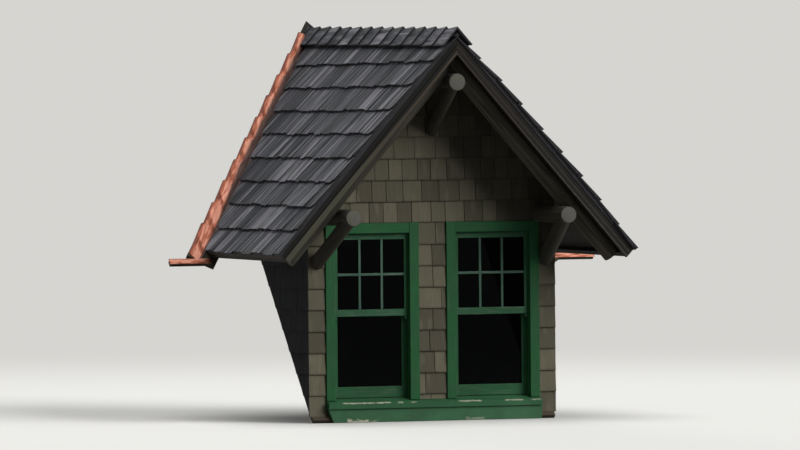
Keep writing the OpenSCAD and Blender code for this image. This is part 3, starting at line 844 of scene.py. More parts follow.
def ridge_boards(roof, materials):
    """Lapped cap boards in pairs along the ridge."""
    rng = random.Random(21)
    bm = empty_mesh()
    base = roof.butt + 0.0008
    under = base + roof.cap_thin + 0.001
    start = BOARD_FRONT - roof.cap_front
    count = math.ceil((CAP_BACK - start) / roof.cap_step)
    for index in range(count):
        for side in SIDES.values():
            tail = roof.cap_step + (0.05 if index < count - 1 else 0.2)
            front = start + index * roof.cap_step + rng.uniform(0, 0.008)
            low = slope_length(roof) - roof.cap_width + rng.uniform(0, 0.008)
            outline = [
                Vector((0, 0, under)),
                Vector((0, 0, base + roof.cap_butt - rng.uniform(0, 0.003))),
                Vector((roof.cap_step, 0, base + roof.cap_thin)),
                Vector((tail, 0, base + roof.cap_thin - 0.002)),
                Vector((tail, 0, base)),
                Vector((0.056, 0, base)),
                Vector((0.052, 0, under)),
            ]
            part = prism(outline, Vector((0, 0.4, 0)), 5)
            edge_faces(part, "x")
            turn = Matrix.Rotation(rng.uniform(-0.008, 0.008), 4, "Z")
            local = slope_frame(side, roof) @ Matrix.Translation((front, low, 0)) @ turn
            bmesh.ops.transform(part, matrix=local, verts=part.verts[:])
            trim(part, [middle_plane(side, 0.0006), main_plane(roof)])
            add_part(bm, part, Matrix.Rotation(math.pi / 2, 4, "Z") @ local.inverted(), rng)
    return new_piece("ridge_cap_boards", bm, materials, ["ridge_cap"])


class DORMER_OT_roof(bpy.types.Operator):
    """Lays the shakes of both slopes and the ridge cap boards"""

    bl_idname = "dormer.roof"
    bl_label = "Roof Shakes"

    def execute(self, context):
        roof = context.scene.dormer_roof
        materials = [
            shake_face("weathered_shake", roof),
            # Butts, sides and backs of the shakes: weathered end grain, darkened further as painted shade.
            dark_edge("shake_edge", linear(30, 30, 33)),
            dark_edge("roof_felt", linear(10, 10, 11)),
            # Near black for the outer sides of the shakes at the left gable edge: painted shade.
            dark_edge("rake_side_painted_shade", linear(13, 13, 14)),
        ]
        for word, side in SIDES.items():
            roof_shakes(word + "_roof_shakes", side, roof, materials)
        ridge_boards(roof, materials)
        return {"FINISHED"}


# Wall shingles

def wall_frame(origin, along, out):
    """Places a wall: X along it, Y up, Z out of it."""
    turn = Matrix((Vector(along), Vector((0, 0, 1)), Vector(out))).transposed().to_4x4()
    return Matrix.Translation(Vector(origin)) @ turn


def lay_course(bm, walls, rng, place, low, stops, planes):
    """Lays one course between stops along the wall, a shingle between each two."""
    under, tongue = walls.thin + 0.001, walls.course + 0.016
    for left, right in zip(stops, stops[1:]):
        width = right - left - walls.joint * rng.uniform(0.7, 1.4)
        outline = [
            Vector((0, 0, under)),
            Vector((0, 0, walls.butt - rng.uniform(0, 0.0025))),
            Vector((0, walls.course, walls.thin)),
            Vector((0, tongue, walls.thin - 0.0015)),
            Vector((0, tongue, BACKING)),
            Vector((0, 0.022, BACKING)),
            Vector((0, 0.019, under)),
        ]
        part = prism(outline, Vector((width, 0, 0)))
        edge_faces(part, "y")
        local = place @ Matrix.Translation((left, low + rng.uniform(-0.0015, 0.0015), 0))
        bmesh.ops.transform(part, matrix=local, verts=part.verts[:])
        trim(part, planes)
        add_part(bm, part, local.inverted(), rng)


def random_stops(rng, walls, start, end):
    """Joints at random widths between two ends."""
    stops = [start]
    while end - stops[-1] > walls.wide + walls.narrow:
        stops.append(stops[-1] + rng.uniform(walls.narrow, walls.wide))
    if end - stops[-1] > walls.wide:
        stops.append((stops[-1] + end) / 2)
    return stops + [end]


def gable_shingles(walls, roof, front, materials):
    """The gable above the windows, cut under both slopes."""
    rng = random.Random(31)
    bm = empty_mesh()
    under, fall = under_deck(roof), math.tan(roof.pitch)
    rake = [(Vector((0, 0, under - CLEAR)), off_slope(side, roof)) for side in SIDES.values()]
    planes = rake + [(Vector((0, 0, CASING_TOP + CLEAR)), DOWN)]
    course = math.floor((CASING_TOP - walls.base) / walls.course)
    while walls.base + course * walls.course < under:
        low = walls.base + course * walls.course
        reach = min(WALL_HALF, (under - low) / fall)
        lay_course(bm, walls, rng, front, low, random_stops(rng, walls, -reach, reach), planes)
        planes = rake
        course += 1
    edge, knee = WALL_HALF - 0.002, under - WALL_HALF * fall
    felt = [(-edge, CASING_TOP), (edge, CASING_TOP), (edge, knee), (0, under - 0.004), (-edge, knee)]
    felt_sheet(bm, rng, front, felt)
    new_piece("gable_shingles_single", bm, materials, ["gable_shingles"])


def middle_shingles(walls, front, materials):
    """The strip between the windows, two shingles to a course."""
    rng = random.Random(32)
    bm = empty_mesh()
    left, right, sill = MIDDLE[0].x, MIDDLE[1].x, MIDDLE[0].z
    planes = [(Vector((0, 0, sill + CLEAR)), DOWN), (Vector((0, 0, CASING_TOP)), -DOWN)]
    lowest = math.floor((sill - walls.base) / walls.course)
    joints = (0.44, 0.23, 0.57, 0.40, 0.52, 0.83, 0.53, 0.50, 0.64)
    for course, joint in enumerate(joints, lowest):
        stops = [left + 0.002, left + (right - left) * joint, right - CLEAR]
        lay_course(bm, walls, rng, front, walls.base + course * walls.course, stops, planes)
    felt_sheet(bm, rng, front, [(left, sill), (right, sill), (right, CASING_TOP), (left, CASING_TOP)])
    new_piece("middle_shingles_single", bm, materials, ["middle_shingles"])


def corner_shingles(name, side, walls, roof, front, materials):
    """The strip beside a window, one shingle to a course, cut off along the main roof."""
    rng = random.Random(33 + side)
    bm = empty_mesh()
    left, right = sorted((side * (CASING_OUT + CLEAR), side * WALL_HALF))
    planes = [main_plane(roof, CLEAR), (Vector((0, 0, CASING_TOP)), -DOWN)]
    low = walls.base - walls.course
    while low < CASING_TOP - 0.01:
        lay_course(bm, walls, rng, front, low, [left, right], planes)
        low += walls.course
    felt_sheet(bm, rng, front, [(left, 0.03), (right, 0.03), (right, CASING_TOP), (left, CASING_TOP)])
    new_piece(name + "_single", bm, materials, [name])


def cheek_shingles(name, side, walls, roof, materials):
    """Side wall shingles, cut along the main roof and under the deck."""
    rng = random.Random(41 + side)
    bm = empty_mesh()
    place = wall_frame((side * FRAME_HALF, 0, 0), (0, side, 0), (side, 0, 0))
    under = under_deck(roof)
    planes = [main_plane(roof, CLEAR), (Vector((0, 0, under - CLEAR)), off_slope(side, roof))]
    top = under - FRAME_HALF * math.tan(roof.pitch)
    low = walls.base
    while low < top:
        depth = main_depth(roof, min(low + walls.course, top)) + 0.03
        stops = random_stops(rng, walls, 0.0008, depth)
        if side < 0:
            stops = [-s for s in reversed(stops)]
        lay_course(bm, walls, rng, place, low, stops, planes)
        low += walls.course
    edge, foot = CLEAR * side, main_plane(roof)[0].z + 0.004
    felt_sheet(bm, rng, place, [(edge, foot), (main_depth(roof, top) * side, top), (edge, top)])
    new_piece(name + "_single", bm, materials, [name])


class DORMER_OT_walls(bpy.types.Operator):
    """Hangs the wall shingles on the front and the two cheeks"""

    bl_idname = "dormer.walls"
    bl_label = "Wall Shingles"

    def execute(self, context):
        walls, roof = context.scene.dormer_walls, context.scene.dormer_roof
        materials = [
            shingle_face("stained_shingle", walls.lit, walls.dull),
            # Butts, sides and backs of the wall shingles: weathered end grain, darkened further as painted
            # shade.
            dark_edge("shingle_edge", linear(40, 34, 28)),
            dark_edge("wall_felt", linear(9, 8, 8)),
        ]
        front = wall_frame((0, 0, 0), (1, 0, 0), (0, -1, 0))
        gable_shingles(walls, roof, front, materials)
        middle_shingles(walls, front, materials)
        for word, side in SIDES.items():
            corner_shingles(word + "_corner_shingles", side, walls, roof, front, materials)
        # The cheeks take a darker copy of the shingle material: painted shade.
        materials[0] = shingle_face("shaded_shingle", walls.shaded, toned(walls.shaded, 0.7))
        for word, side in SIDES.items():
            cheek_shingles(word + "_cheek_shingles", side, walls, roof, materials)
        return {"FINISHED"}


# Joinery

def board(side_a, side_b, front, back, low, high, soft):
    """Corners of a board, whose two sides may come in either order, and the bevel that softens it."""
    return (min(side_a, side_b), front, low), (max(side_a, side_b), back, high), soft


def boards(name, materials, parts, seed, replaced):
    """A piece made of boards, each with its own grain; those that lie level take the last material."""
    rng = random.Random(seed)
    bm = empty_mesh()
    quarter = math.pi / 2
    turns = (Matrix.Rotation(quarter, 4, "Z"), Matrix.Identity(4), Matrix.Rotation(quarter, 4, "X"))
    for low, high, soft in parts:
        size = Vector(high) - Vector(low)
        axis = max(range(3), key=lambda i: size[i])
        part = block(low, high, soft)
        paint_faces(part, len(materials) - 1 if axis == 0 else 0)
        add_part(bm, part, turns[axis], rng)
    return new_piece(name, bm, materials, replaced)


def sash_fronts(joinery):
    """Depths of the front faces of the outer and the inner sash."""
    outer = joinery.stop + SLIDE
    return outer, outer + joinery.sash + joinery.parting + 2 * SLIDE


def frame_parts(side, joinery, foot):
    """Jambs, casings, stops and beads of one window, then the draught strip and the head."""
    x, half, hair = side * joinery.centre, joinery.opening / 2, 0.0002
    front, head_top = -joinery.casing_out, joinery.head + joinery.jamb
    low, high = foot + 0.001, joinery.head - hair
    outer, inner = sash_fronts(joinery)
    guides = (
        (2 * hair, joinery.stop - 2 * hair, 0.008),
        (outer + joinery.sash + SLIDE, joinery.parting, 0.01),
        (inner + joinery.sash + 2 * SLIDE, joinery.stop, 0.01),
    )
    parts = []
    for edge in SIDES.values():
        jamb = x + edge * half
        parts.append(board(jamb, jamb + edge * joinery.jamb, hair, joinery.wall, 0.1, head_top, 0.0015))
        casing = jamb + edge * joinery.casing
        parts.append(board(jamb, casing, front, -hair, MIDDLE[0].z, CASING_TOP, 0.003))
        for near, thick, wide in guides:
            parts.append(board(jamb, jamb - edge * wide, near, near + thick, low, high, 0.002))
    strip = 2 * joinery.stop + joinery.sash + joinery.parting
    parts.append(board(x - half, x + half, strip, strip + 0.012, foot - 0.0014, foot - hair, hair))
    parts.append(board(x - half, x + half, hair, joinery.wall, joinery.head, head_top, 0.0015))
    half -= 0.0006
    parts.append(board(x - half, x + half, front + 0.002, -hair, joinery.head, CASING_TOP - 0.0015, 0.003))
    return parts


def sash_parts(side, joinery, front, low, high, stile, low_rail, high_rail, horn=0.0):
    """Stiles and rails of a sash; the rails run into the stiles, and an upper one has horns below."""
    x, half = side * joinery.centre, joinery.opening / 2 - 0.001
    back, tenon, step, soft = front + joinery.sash, 0.004, 0.0006, 0.0025
    inner = half - stile + tenon
    parts = []
    for edge in SIDES.values():
        parts.append(board(x + edge * half, x + edge * (half - stile), front, back, low, high, soft))
    for bottom, top in ((low, low + low_rail), (high - high_rail, high)):
        parts.append(board(x - inner, x + inner, front + step, back - step, bottom, top, soft))
    if horn:
        for edge in SIDES.values():
            sides = (x + edge * half, x + edge * inner)
            parts.append(board(*sides, front, back, low - horn, low - 0.0002, 0.006))
    return parts


def bar_parts(side, joinery, front, low, high, stile):
    """Two upright bars and one level bar, on both faces of the glass."""
    x, half = side * joinery.centre, joinery.opening / 2 - 0.001 - stile
    middle, pane = front + joinery.sash / 2, joinery.glass / 2 + 0.0003
    centre, third, bar = (low + high) / 2, 2 * half / 3, joinery.bar / 2
    parts = []
    for near, far in ((front + 0.003, middle - pane), (middle + pane, front + joinery.sash - 0.003)):
        for share in SIDES.values():
            at = x + share * half / 3
            parts.append(board(at - bar, at + bar, near, far, low, high, 0.004))
        for index in range(3):
            left = x - half + index * third + (bar - 0.001 if index else 0)
            right = x - half + (index + 1) * third - (bar - 0.001 if index < 2 else 0)
            parts.append(board(left, right, near + 0.0004, far, centre - bar, centre + bar, 0.004))
    return parts


class DORMER_OT_windows(bpy.types.Operator):
    """Builds the casings, sashes and glazing bars of both windows"""

    bl_idname = "dormer.windows"
    bl_label = "Windows"

    def execute(self, context):
        joinery = context.scene.dormer_joinery
        casing = paint("casing_green", joinery.paint, joinery.bare, 0.02, 0.12)
        sash = paint("sash_green", joinery.sash_paint, joinery.bare, 0.0, 0.3)
        rails = paint("rail_green", joinery.rail_paint, joinery.bare, 0.02, 0.6)
        bars = paint("bar_green", joinery.bar_paint, joinery.bare, 0.02, 0.5)
        level_bars = paint("level_bar_green", joinery.bar_paint, joinery.bare, 0.05, 0.9)
        glass = dark_glass("pane_painted_dark")
        outer, inner = sash_fronts(joinery)
        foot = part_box("left_lower_sash")[0].z
        meeting, high = joinery.meeting, joinery.head - 0.001
        upper_sizes = (joinery.upper_stile, joinery.meeting_rail, joinery.top_rail, joinery.horn)
        lower_sizes = (joinery.lower_stile, joinery.bottom_rail, joinery.check_rail)
        for word, side in SIDES.items():
            frame_node, upper, lower = (word + end for end in ("_window_frame", "_upper_sash", "_lower_sash"))
            parts = frame_parts(side, joinery, foot)
            boards(frame_node + "_boards", [casing], parts, 51 + side, [frame_node])
            parts = sash_parts(side, joinery, outer, meeting - joinery.meeting_rail, high, *upper_sizes)
            boards(upper + "_boards", [sash, rails], parts, 61 + side, [upper])
            parts = bar_parts(side, joinery, outer, meeting, high - joinery.top_rail, joinery.upper_stile)
            boards(word + "_window_bars", [bars, level_bars], parts, 71 + side, [])
            parts = sash_parts(side, joinery, inner, foot, meeting, *lower_sizes)
            boards(lower + "_boards", [sash], parts, 81 + side, [lower])
            dress([word + "_upper_glass", word + "_lower_glass"], glass)
        return {"FINISHED"}


def stretches(s, value, spans):
    """Each span's own share within it along a line, fading at its ends, and nothing elsewhere."""
    total, fade = 0.0, 0.012
    for start, end, share in spans:
        inside = s.band(value, start - fade, start + fade)
        inside = s.maths("MULTIPLY", inside, s.band(value, end - fade, end + fade, share, 0))
        total = s.maths("MAXIMUM", inside, total)
    return total


def sill_wear(s):
    """Paint worn off along the sill's front top edge, in stretches."""
    place = s.place()
    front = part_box("window_sill")[0].y
    ragged = s.clouds(s.scaled(place, 45, 110, 110), detail=4)
    reach = s.band(ragged, 0.35, 0.65, 0.007, 0.026)
    nose = s.maths("LESS_THAN", s.part(place, "Y"), s.maths("ADD", reach, front))
    fall = s.maths("MULTIPLY", reach, 0.4)
    near = s.maths("GREATER_THAN", s.part(place, "Z"), s.maths("SUBTRACT", SILL_EDGE, fall))
    spans = (
        (-0.80, -0.69, 1.0), (-0.695, -0.64, 0.7), (-0.645, -0.53, 1.0), (-0.51, -0.39, 1.0),
        (-0.325, -0.285, 0.9), (-0.21, -0.17, 0.75), (0.2, 0.39, 0.95), (0.6, 0.75, 0.9), (0.83, 0.905, 0.65),
    )
    worn = stretches(s, s.part(place, "X"), spans)
    edge = s.maths("MULTIPLY", nose, near)
    return s.maths("MULTIPLY", s.maths("MULTIPLY", edge, worn), s.band(ragged, 0.31, 0.41))


def apron_wear(s):
    """Paint worn off along the apron's low edge."""
    place = s.place()
    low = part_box("sill_apron")[0].z
    ragged = s.clouds(s.scaled(place, 30, 110, 110), detail=4)
    reach = s.maths("ADD", s.band(ragged, 0.35, 0.65, 0.004, 0.03), low)
    near = s.maths("LESS_THAN", s.part(place, "Z"), reach)
    spans = ((-0.757, -0.578, 1.0), (-0.56, -0.50, 0.5), (0.26, 0.42, 0.4))
    return s.maths("MULTIPLY", near, stretches(s, s.part(place, "X"), spans))


class DORMER_OT_sill(bpy.types.Operator):
    """Paints the sill and the apron"""

    bl_idname = "dormer.sill"
    bl_label = "Sill and Apron"

    def execute(self, context):
        joinery = context.scene.dormer_joinery
        dress(["window_sill"], paint("sill_green", joinery.sill_paint, joinery.bare, 0.0, 0.2, sill_wear))
        dress(["sill_apron"], paint("apron_green", joinery.apron_paint, joinery.bare, 0.0, 0.25, apron_wear))
        return {"FINISHED"}


# Logs and boards

def log_piece(node, start, end, radius, logs, materials, seed, planes=()):
    """Peeled log between two points in place of a node, a little uneven, with worn ends."""
    rng = random.Random(seed)
    bm = empty_mesh()
    axis = end - start
    turn = axis.to_track_quat("Z", "Y").to_matrix().to_4x4()
    bmesh.ops.create_cone(
        bm, cap_ends=True, segments=logs.around, radius1=radius, radius2=radius, depth=axis.length
    )
    long_edges = [e for e in bm.edges if abs(e.verts[0].co.z - e.verts[1].co.z) > axis.length / 2]
    bmesh.ops.subdivide_edges(bm, edges=long_edges, cuts=max(3, round(axis.length / 0.07)))
    rims = [e for e in bm.edges if any(len(f.verts) > 4 for f in e.link_faces)]
    bmesh.ops.bevel(bm, geom=rims, offset=radius * 0.09, segments=3, profile=0.5, affect="EDGES", material=-1)
    shift = Vector((rng.uniform(0, 50), rng.uniform(0, 50), 0))
    for vert in bm.verts:
        x, y, z = vert.co
        if math.hypot(x, y) > radius * 0.5:
            lump = noise.noise(Vector((x * 9, y * 9, z * 1.6)) + shift)
            ridge = noise.noise(Vector((x * 38, y * 38, z * 2.5)) + shift)
            shrink = 1 - logs.wander * (0.5 + 0.4 * lump + 0.1 * ridge)
            vert.co = Vector((x * shrink, y * shrink, z))
    for face in bm.faces:
        face.normal_update()
        if abs(face.normal.z) > 0.75:
            face.material_index = 1
    place = Matrix.Translation((start + end) / 2) @ turn
    bmesh.ops.transform(bm, matrix=place, verts=bm.verts[:])
    trim(bm, planes)
    grain, tone = bm.verts.layers.float_vector["grain"], bm.verts.layers.float["tone"]
    to_local = Matrix.Rotation(math.pi / 2, 4, "X") @ place.inverted()
    for vert in bm.verts:
        vert[grain] = to_local @ vert.co
        vert[tone] = rng.random()
    return new_piece(node + "_peeled", bm, materials, [node], smooth=True)


def log_axis(node):
    """Ends and radius of a log that lies level along Y."""
    low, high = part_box(node)
    middle = (low + high) / 2
    return Vector((middle.x, low.y, middle.z)), Vector((middle.x, high.y, middle.z)), (high.x - low.x) / 2


def barge_log(node, side, roof, logs, materials):
    """Log under the gable edge, cut off on the centre line."""
    low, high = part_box(node)
    middle, radius = (low.y + high.y) / 2, (high.y - low.y) / 2
    place = slope_frame(side, roof)
    drop = -(roof.deck + radius + 0.0003)
    start = place @ Vector((middle, 0.04, drop))
    end = place @ Vector((middle, slope_length(roof) + 0.35, drop))
    log_piece(node, start, end, radius, logs, materials, 95 + side, [middle_plane(side, 0.0005)])


def brace(node, log, drop, radius, logs, materials):
    """Brace from the tip of a log to the wall, let into the wall shingles."""
    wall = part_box("gable_shingles")[0].y
    tip = log_axis(log)[0]
    side = (tip.x > 0.1) - (tip.x < -0.1)
    start = tip + Vector((0, radius + (0.005 if side else 0.01), 0))
    foot = Vector((side * (CASING_OUT + radius + 0.004), wall, tip.z - drop))
    end = foot + (foot - start).normalized() * radius * 2
    plane = (Vector((0, wall, 0)), Vector((0, 1, 0)))
    log_piece(node, start, end, radius, logs, materials, 98 + side, [plane])


def stain_boards(logs, roof):
    """The barge boards with their mouldings, which carry painted light along their low edges, and the eave
    boards; the left barge board and the eave boards are darkened as painted shade.
    """
    brown = linear(62, 54, 46)
    # Painted light differs by side: a wide lit strip on the left, and a narrow one with a highlight line on
    # the right.
    for word, side, tint, peak, foot, highlight_share in (
        ("left", -1, logs.shaded, 0.022, 0.043, 0.0),
        ("right", 1, logs.board, 0.009, 0.009, 0.7),
    ):
        turn, worn = (0, -side * roof.pitch, 0), toned(tint, 1.4)
        dress([word + "_barge_board"], board_wood(word + "_barge_stain", tint, worn, turn))
        strip = (side, roof.pitch, MOULDING_LOW + peak, MOULDING_LOW + foot, logs.moulding, brown, highlight_share)
        dress([word + "_barge_moulding"], board_wood(word + "_moulding_painted_light", tint, worn, turn, strip))
    # The eave boards take the shaded board colour: painted shade.
    eave = board_wood("eave_stain_and_shade", logs.shaded, linear(44, 38, 31), (0, 0, math.pi / 2))
    dress(["left_eave_board", "right_eave_board"], eave)


class DORMER_OT_logs(bpy.types.Operator):
    """Makes the ridge, eave and barge logs and their braces, and stains the boards"""

    bl_idname = "dormer.logs"
    bl_label = "Logs and Boards"

    def execute(self, context):
        logs, roof = context.scene.dormer_logs, context.scene.dormer_roof
        end = log_end("log_end", logs)
        dark = [log_side("log_side", logs.bark, logs.groove), end]
        # The right barge log takes a lighter copy of the log material: painted light.
        light = [log_side("right_barge_log_painted_light", logs.barge, logs.bark), end]
        for index, node in enumerate(("ridge_log", "left_eave_log", "right_eave_log")):
            log_piece(node, *log_axis(node), logs, dark, 91 + index)
        barge_log("left_barge_log", -1, roof, logs, dark)
        barge_log("right_barge_log", 1, roof, logs, light)
        for word, log, drop, radius in (
            ("ridge", "ridge_log", 0.38, 0.052),
            ("left", "left_eave_log", 0.355, 0.058),
            ("right", "right_eave_log", 0.355, 0.058),
        ):
            brace(word + "_brace", log, drop, radius, logs, dark)
        stain_boards(logs, roof)
        return {"FINISHED"}


# Copper valleys

def valley_line(roof, x):
    """Point where the deck's upper face meets the main roof, at a distance from the centre line."""
    z = RIDGE_Z - x * math.tan(roof.pitch)
    return Vector((x, main_depth(roof, z), z))


def copper_lumps(side, along, across):
    """Height of the wrinkled sheet, never below nothing, and how much painted shade its hollow takes there.
    """
    slant = Vector((along * 11 + across * 22, across * 9 - along * 3, side * 3.3))
    height = 0.5 + 0.75 * noise.noise(slant) + 0.35 * noise.noise(slant * 2.3 + Vector((5, 3, 1)))
    return max(0, height), clamp(1.05 - height * 1.3)


class Valley:
    """Place and directions of the right valley; the left one is mirrored from it."""

    def __init__(self, roof):
        top = valley_line(roof, 0)
        self.foot = valley_line(roof, EAVE_X)
        self.up, self.run = (top - self.foot).normalized(), (top - self.foot).length
        self.climb = Vector((0, math.cos(roof.main_slope), math.sin(roof.main_slope)))
        self.main_off = Vector((0, -math.sin(roof.main_slope), math.cos(roof.main_slope)))
        self.deck_off = off_slope(1, roof)
        self.outward, self.inward = self.up.cross(self.main_off), self.up.cross(self.deck_off)
        self.outward *= math.copysign(1, self.outward.x)
        self.inward *= math.copysign(1, -self.inward.y)


def valley_strip(bm, side, roof, copper, valley):
    """Sheet up the valley: notched on the main roof, and turned up on to the deck under the shakes."""
    layers = bm.verts.layers
    creased, stained, grain = layers.float["crease"], layers.float["tone"], layers.float_vector["grain"]
    rows, columns, folded, tuck = 150, 18, 6, 0.025
    fold, run, rise = folded / columns, valley.run, valley.up.dot(valley.climb)
    below = copper.foot_low / rise
    # One notch and one crease for each course of shakes on the main roof
    step = run / (math.floor(run * rise / roof.exposure) + 1)
    bmesh.ops.create_grid(bm, x_segments=columns, y_segments=rows, size=0.5)
    for vert in bm.verts:
        across, share = vert.co.x + 0.5, vert.co.y + 0.5
        if across >= fold:
            out = (across - fold) / (1 - fold)
            start = -below * (1 - (1 - copper.foot_high / copper.foot_low) * out)
            along = start + (run - start) * share
            width = copper.width + (copper.width_top - copper.width) * max(0, along) / run
            width -= copper.notch * (1 - max(along, 0) / step % 1) if along < run - 0.02 else 0
            base = valley.foot + valley.up * along + valley.outward * (out * width)
            fade = min(1, out * 3) * min(1, (1 - out) * 4)
            off, rim = valley.main_off, clamp(1 - (1 - across) * 5)
        else:
            turned_up = (fold - across) / fold
            along = run * share
            reach = turned_up * (bare_width(roof, share) + tuck)
            base = valley.foot + valley.up * along + valley.inward * reach
            fade = min(1, turned_up * 3) * min(1, (1 - turned_up) * 3)
            off, rim = valley.deck_off, 0
        height, hollow_shade = copper_lumps(side, along, across)
        vert.co = base + off * (copper.sheet + copper.wrinkle * height * fade)
        vert[grain] = Vector((across * 0.2, along, side * 3))
        # The crease layer: painted shade in the wrinkles' hollows and at the notched outer edge, and burnt
        # copper along a crease at every course.
        dressed = clamp(1 - abs((along / step - (across - fold) * 0.9) % 1 - 0.82) / 0.18)
        vert[creased] = min(1, hollow_shade * 0.55 + rim * 0.9 + dressed * 0.6)
        # The tone layer carries the painted shade beside the valley line, widening up the sheet.
        stain = copper.stain * min(1, max(0, along / run - 0.12) * 4)
        vert[stained] = clamp(1.6 - abs(across - fold - stain * 0.5) / (0.08 + stain * 0.5))


def foot_plate(bm, side, copper, valley):
    """Flat end of the sheet, out past the eave corner."""
    creased, grain = bm.verts.layers.float["crease"], bm.verts.layers.float_vector["grain"]
    lap = 0.02
    plate = bmesh.ops.create_grid(bm, x_segments=24, y_segments=5, size=0.5)
    for vert in plate["verts"]:
        across, share = vert.co.y + 0.5, vert.co.x + 0.5
        height, hollow_shade = copper_lumps(side, share * 0.4, across * 0.3)
        reach = share * (copper.foot + lap) - lap
        fall = across * (copper.foot_low - copper.foot_high) - copper.foot_low
        fade = min(1, across * 4, (1 - across) * 4, share * 6, (1 - share) * 8)
        off = valley.main_off * (copper.sheet * 1.6 + copper.wrinkle * height * fade)
        vert.co = valley.foot + Vector((reach, 0, 0)) + valley.climb * fall + off
        # Painted shade in the wrinkles' hollows.
        vert[creased] = min(1, hollow_shade * 0.8)
        vert[grain] = Vector((across * 0.1, reach, side * 5))


def valley_copper(word, side, roof, copper, material):
    """Wrinkled copper of one valley, with its flat foot and the sheet's thickness."""
    bm = empty_mesh()
    valley = Valley(roof)
    valley_strip(bm, side, roof, copper, valley)
    foot_plate(bm, side, copper, valley)
    if side < 0:
        bmesh.ops.mirror(bm, geom=bm.verts[:] + bm.edges[:] + bm.faces[:], axis="X", merge_dist=0)
        gone = [v for v in bm.verts if v.co.x > 0.0001]
        bmesh.ops.delete(bm, geom=gone, context="VERTS")
    name, node = word + "_valley_sheet", word + "_valley_copper"
    piece = new_piece(name, bm, [material], [node], smooth=True)
    for polygon in piece.data.polygons:
        if polygon.normal.z < 0:
            polygon.flip()
    thick = piece.modifiers.new("thickness", "SOLIDIFY")
    thick.thickness = copper.sheet
    thick.offset = -1


class DORMER_OT_copper(bpy.types.Operator):
    """Lays the wrinkled copper in both valleys"""

    bl_idname = "dormer.copper"
    bl_label = "Copper Valleys"

    def execute(self, context):
        roof, copper = context.scene.dormer_roof, context.scene.dormer_copper
        material = copper_sheet("bright_copper", copper)
        for word, side in SIDES.items():
            valley_copper(word, side, roof, copper, material)
        return {"FINISHED"}


# Framing

SLEEPERS = ("sole_plate", "left_valley_sleeper", "right_valley_sleeper")


class DORMER_OT_framing(bpy.types.Operator):
    """Gives the framed walls, the deck planks and the sleepers their sawn wood"""

    bl_idname = "dormer.framing"
    bl_label = "Framing"

    def execute(self, context):
        for nodes, name, tint, axis, width in (
            (("front_wall", "left_cheek_wall", "right_cheek_wall"), "wall_boards", (104, 88, 66), "Z", 0.142),
            (("left_roof_deck", "right_roof_deck"), "deck_planks", (58, 50, 40), "Y", 0.185),
            (SLEEPERS, "sleeper_wood", (74, 65, 53), "X", 9),
        ):
            dress(nodes, sawn_boards(name, linear(*tint), axis, width))
        return {"FINISHED"}


# Stage

CAMERA_PLACE = (-30.644, -82.189, 3.504)
# Focal length of the photo, and the dormer's middle measured from the photo's, all in pixels
PHOTO_FOCAL = 8154
PHOTO_SHIFT = (-182.5, 87.5)
FLOOR_REACH = 30.0


def stage_material(name, tint, behind, reach):
    """Pale floor that keeps the shadow near the object and fades into the background."""
    s = Shader(name)
    away = s.reach("LENGTH", s.place())
    mottle = s.clouds(s.place(), 0.8, detail=3)
    near = s.mix(s.band(mottle, 0.3, 0.7, 0, 0.3), tint, toned(tint, 0.97))
    pale = s.node("BsdfDiffuse", {"Color": near})
    glow = s.node("Emission", {"Color": behind, "Strength": 1.0})
    fading = s.layered(s.band(away, reach * 0.35, reach), pale, glow)
    bounced = s.node("BsdfDiffuse", {"Color": (0.12, 0.12, 0.12)})
    return s.close(s.layered(s.seen(), bounced, fading))


def make_world(stage):
    """Light from above and a little from below; the background that shows is plain."""
    world = bpy.data.worlds.new("soft_daylight")
    bpy.context.scene.world = world
    s = Nodes(world)
    towards = s.node("TexCoord").outputs["Generated"]
    upward = s.band(s.part(towards, "Z"), -0.15, 0.75, stage.ground, stage.sky)
    sideways = s.band(s.part(towards, "X"), -0.8, 0.5, 0.3, 1.0)
    strength = s.maths("MULTIPLY", upward, sideways)
    light = s.node("Background", {"Color": (0.93, 0.97, 1.0), "Strength": strength})
    plain = s.node("Background", {"Color": stage.background})
    s.node("OutputWorld", {"Surface": s.layered(s.seen(), light, plain).outputs[0]})


def lamp(name, aim, strength, spread):
    """Broad soft lamp shining along a direction."""
    data = bpy.data.lights.new(name, "SUN")
    data.energy = strength * math.pi
    data.angle = spread
    made = bpy.data.objects.new(name, data)
    made.rotation_mode = "QUATERNION"
    made.rotation_quaternion = Vector(aim).to_track_quat("-Z", "Y")
    bpy.context.scene.collection.objects.link(made)


def camera_turn(stage):
    """Axes of the photographed line of sight, turned so that the dormer sits in the middle of the frame."""
    turn, fall, roll = stage.azimuth, stage.down, stage.roll
    level = Vector((math.cos(turn), -math.sin(turn), 0))
    ahead = Vector((math.sin(turn) * math.cos(fall), math.cos(turn) * math.cos(fall), -math.sin(fall)))
    up = level.cross(ahead)
    right = level * math.cos(roll) + up * math.sin(roll)
    above = up * math.cos(roll) - level * math.sin(roll)
    aim = (ahead * PHOTO_FOCAL + right * PHOTO_SHIFT[0] + above * PHOTO_SHIFT[1]).normalized()
    right = (right - aim * right.dot(aim)).normalized()
    return Matrix((right, right.cross(aim), -aim)).transposed()


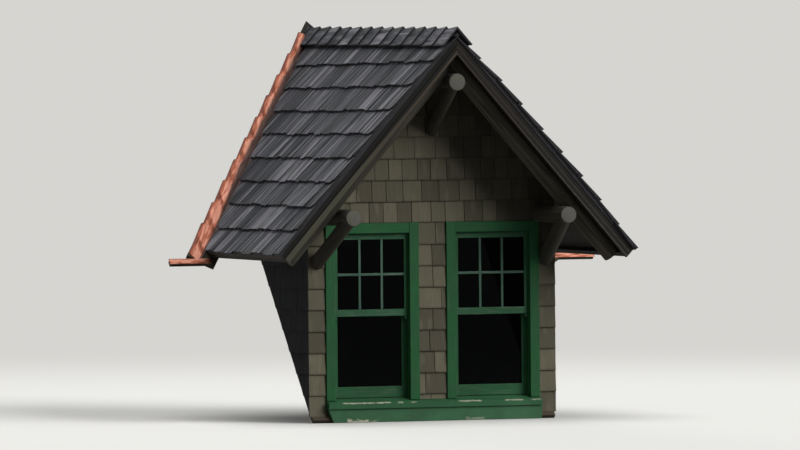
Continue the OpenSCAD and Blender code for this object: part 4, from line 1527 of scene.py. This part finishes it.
class DORMER_OT_stage(bpy.types.Operator):
    """Sets the camera, the pale floor and the soft light"""

    bl_idname = "dormer.stage"
    bl_label = "Camera and Light"

    def execute(self, context):
        stage = context.scene.dormer_stage
        data = bpy.data.cameras.new("camera")
        data.lens = stage.focal
        data.clip_start, data.clip_end = 1, 1000
        camera = bpy.data.objects.new("camera", data)
        camera.matrix_world = Matrix.Translation(CAMERA_PLACE) @ camera_turn(stage).to_4x4()
        context.scene.collection.objects.link(camera)
        context.scene.camera = camera

        bm = bmesh.new()
        made = bmesh.ops.create_circle(bm, cap_ends=True, segments=96, radius=FLOOR_REACH)
        bmesh.ops.translate(bm, verts=made["verts"], vec=(0, 0, CAD_BOUNDS[0].z - CLEAR))
        mesh = bpy.data.meshes.new("floor")
        bm.to_mesh(mesh)
        bm.free()
        floor = bpy.data.objects.new("floor", mesh)
        mesh.materials.append(stage_material("pale_floor", stage.floor, stage.background, FLOOR_REACH * 0.6))
        context.scene.collection.objects.link(floor)

        make_world(stage)
        lamp("key_lamp", (-0.54, 0.68, -0.5), stage.key, math.radians(38))
        lamp("overhead_lamp", (0.12, 0.06, -1.0), stage.overhead, math.radians(50))
        lamp("back_lamp", (-0.1, -1.0, -0.14), stage.behind, math.radians(22))
        context.scene.view_settings.view_transform = "Standard"
        return {"FINISHED"}


STEPS = (
    DORMER_OT_framing,
    DORMER_OT_walls,
    DORMER_OT_roof,
    DORMER_OT_copper,
    DORMER_OT_windows,
    DORMER_OT_sill,
    DORMER_OT_logs,
    DORMER_OT_stage,
)


class DORMER_PT_panel(bpy.types.Panel):
    """Lists the steps that dress the dormer"""

    bl_idname = "DORMER_PT_panel"
    bl_label = "Dormer"
    bl_space_type = "VIEW_3D"
    bl_region_type = "UI"
    bl_category = "Dormer"

    def draw(self, context):
        for step in STEPS:
            self.layout.operator(step.bl_idname)


def register():
    for name, group in SETTINGS.items():
        bpy.utils.register_class(group)
        setattr(bpy.types.Scene, name, PointerProperty(type=group))
    for step in (*STEPS, DORMER_PT_panel):
        bpy.utils.register_class(step)


def unregister():
    for step in (*STEPS, DORMER_PT_panel):
        bpy.utils.unregister_class(step)
    for name, group in SETTINGS.items():
        delattr(bpy.types.Scene, name)
        bpy.utils.unregister_class(group)


def main():
    """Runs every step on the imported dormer."""
    register()
    for step in STEPS:
        group, action = step.bl_idname.split(".")
        getattr(getattr(bpy.ops, group), action)()


if __name__ == "__main__":
    main()
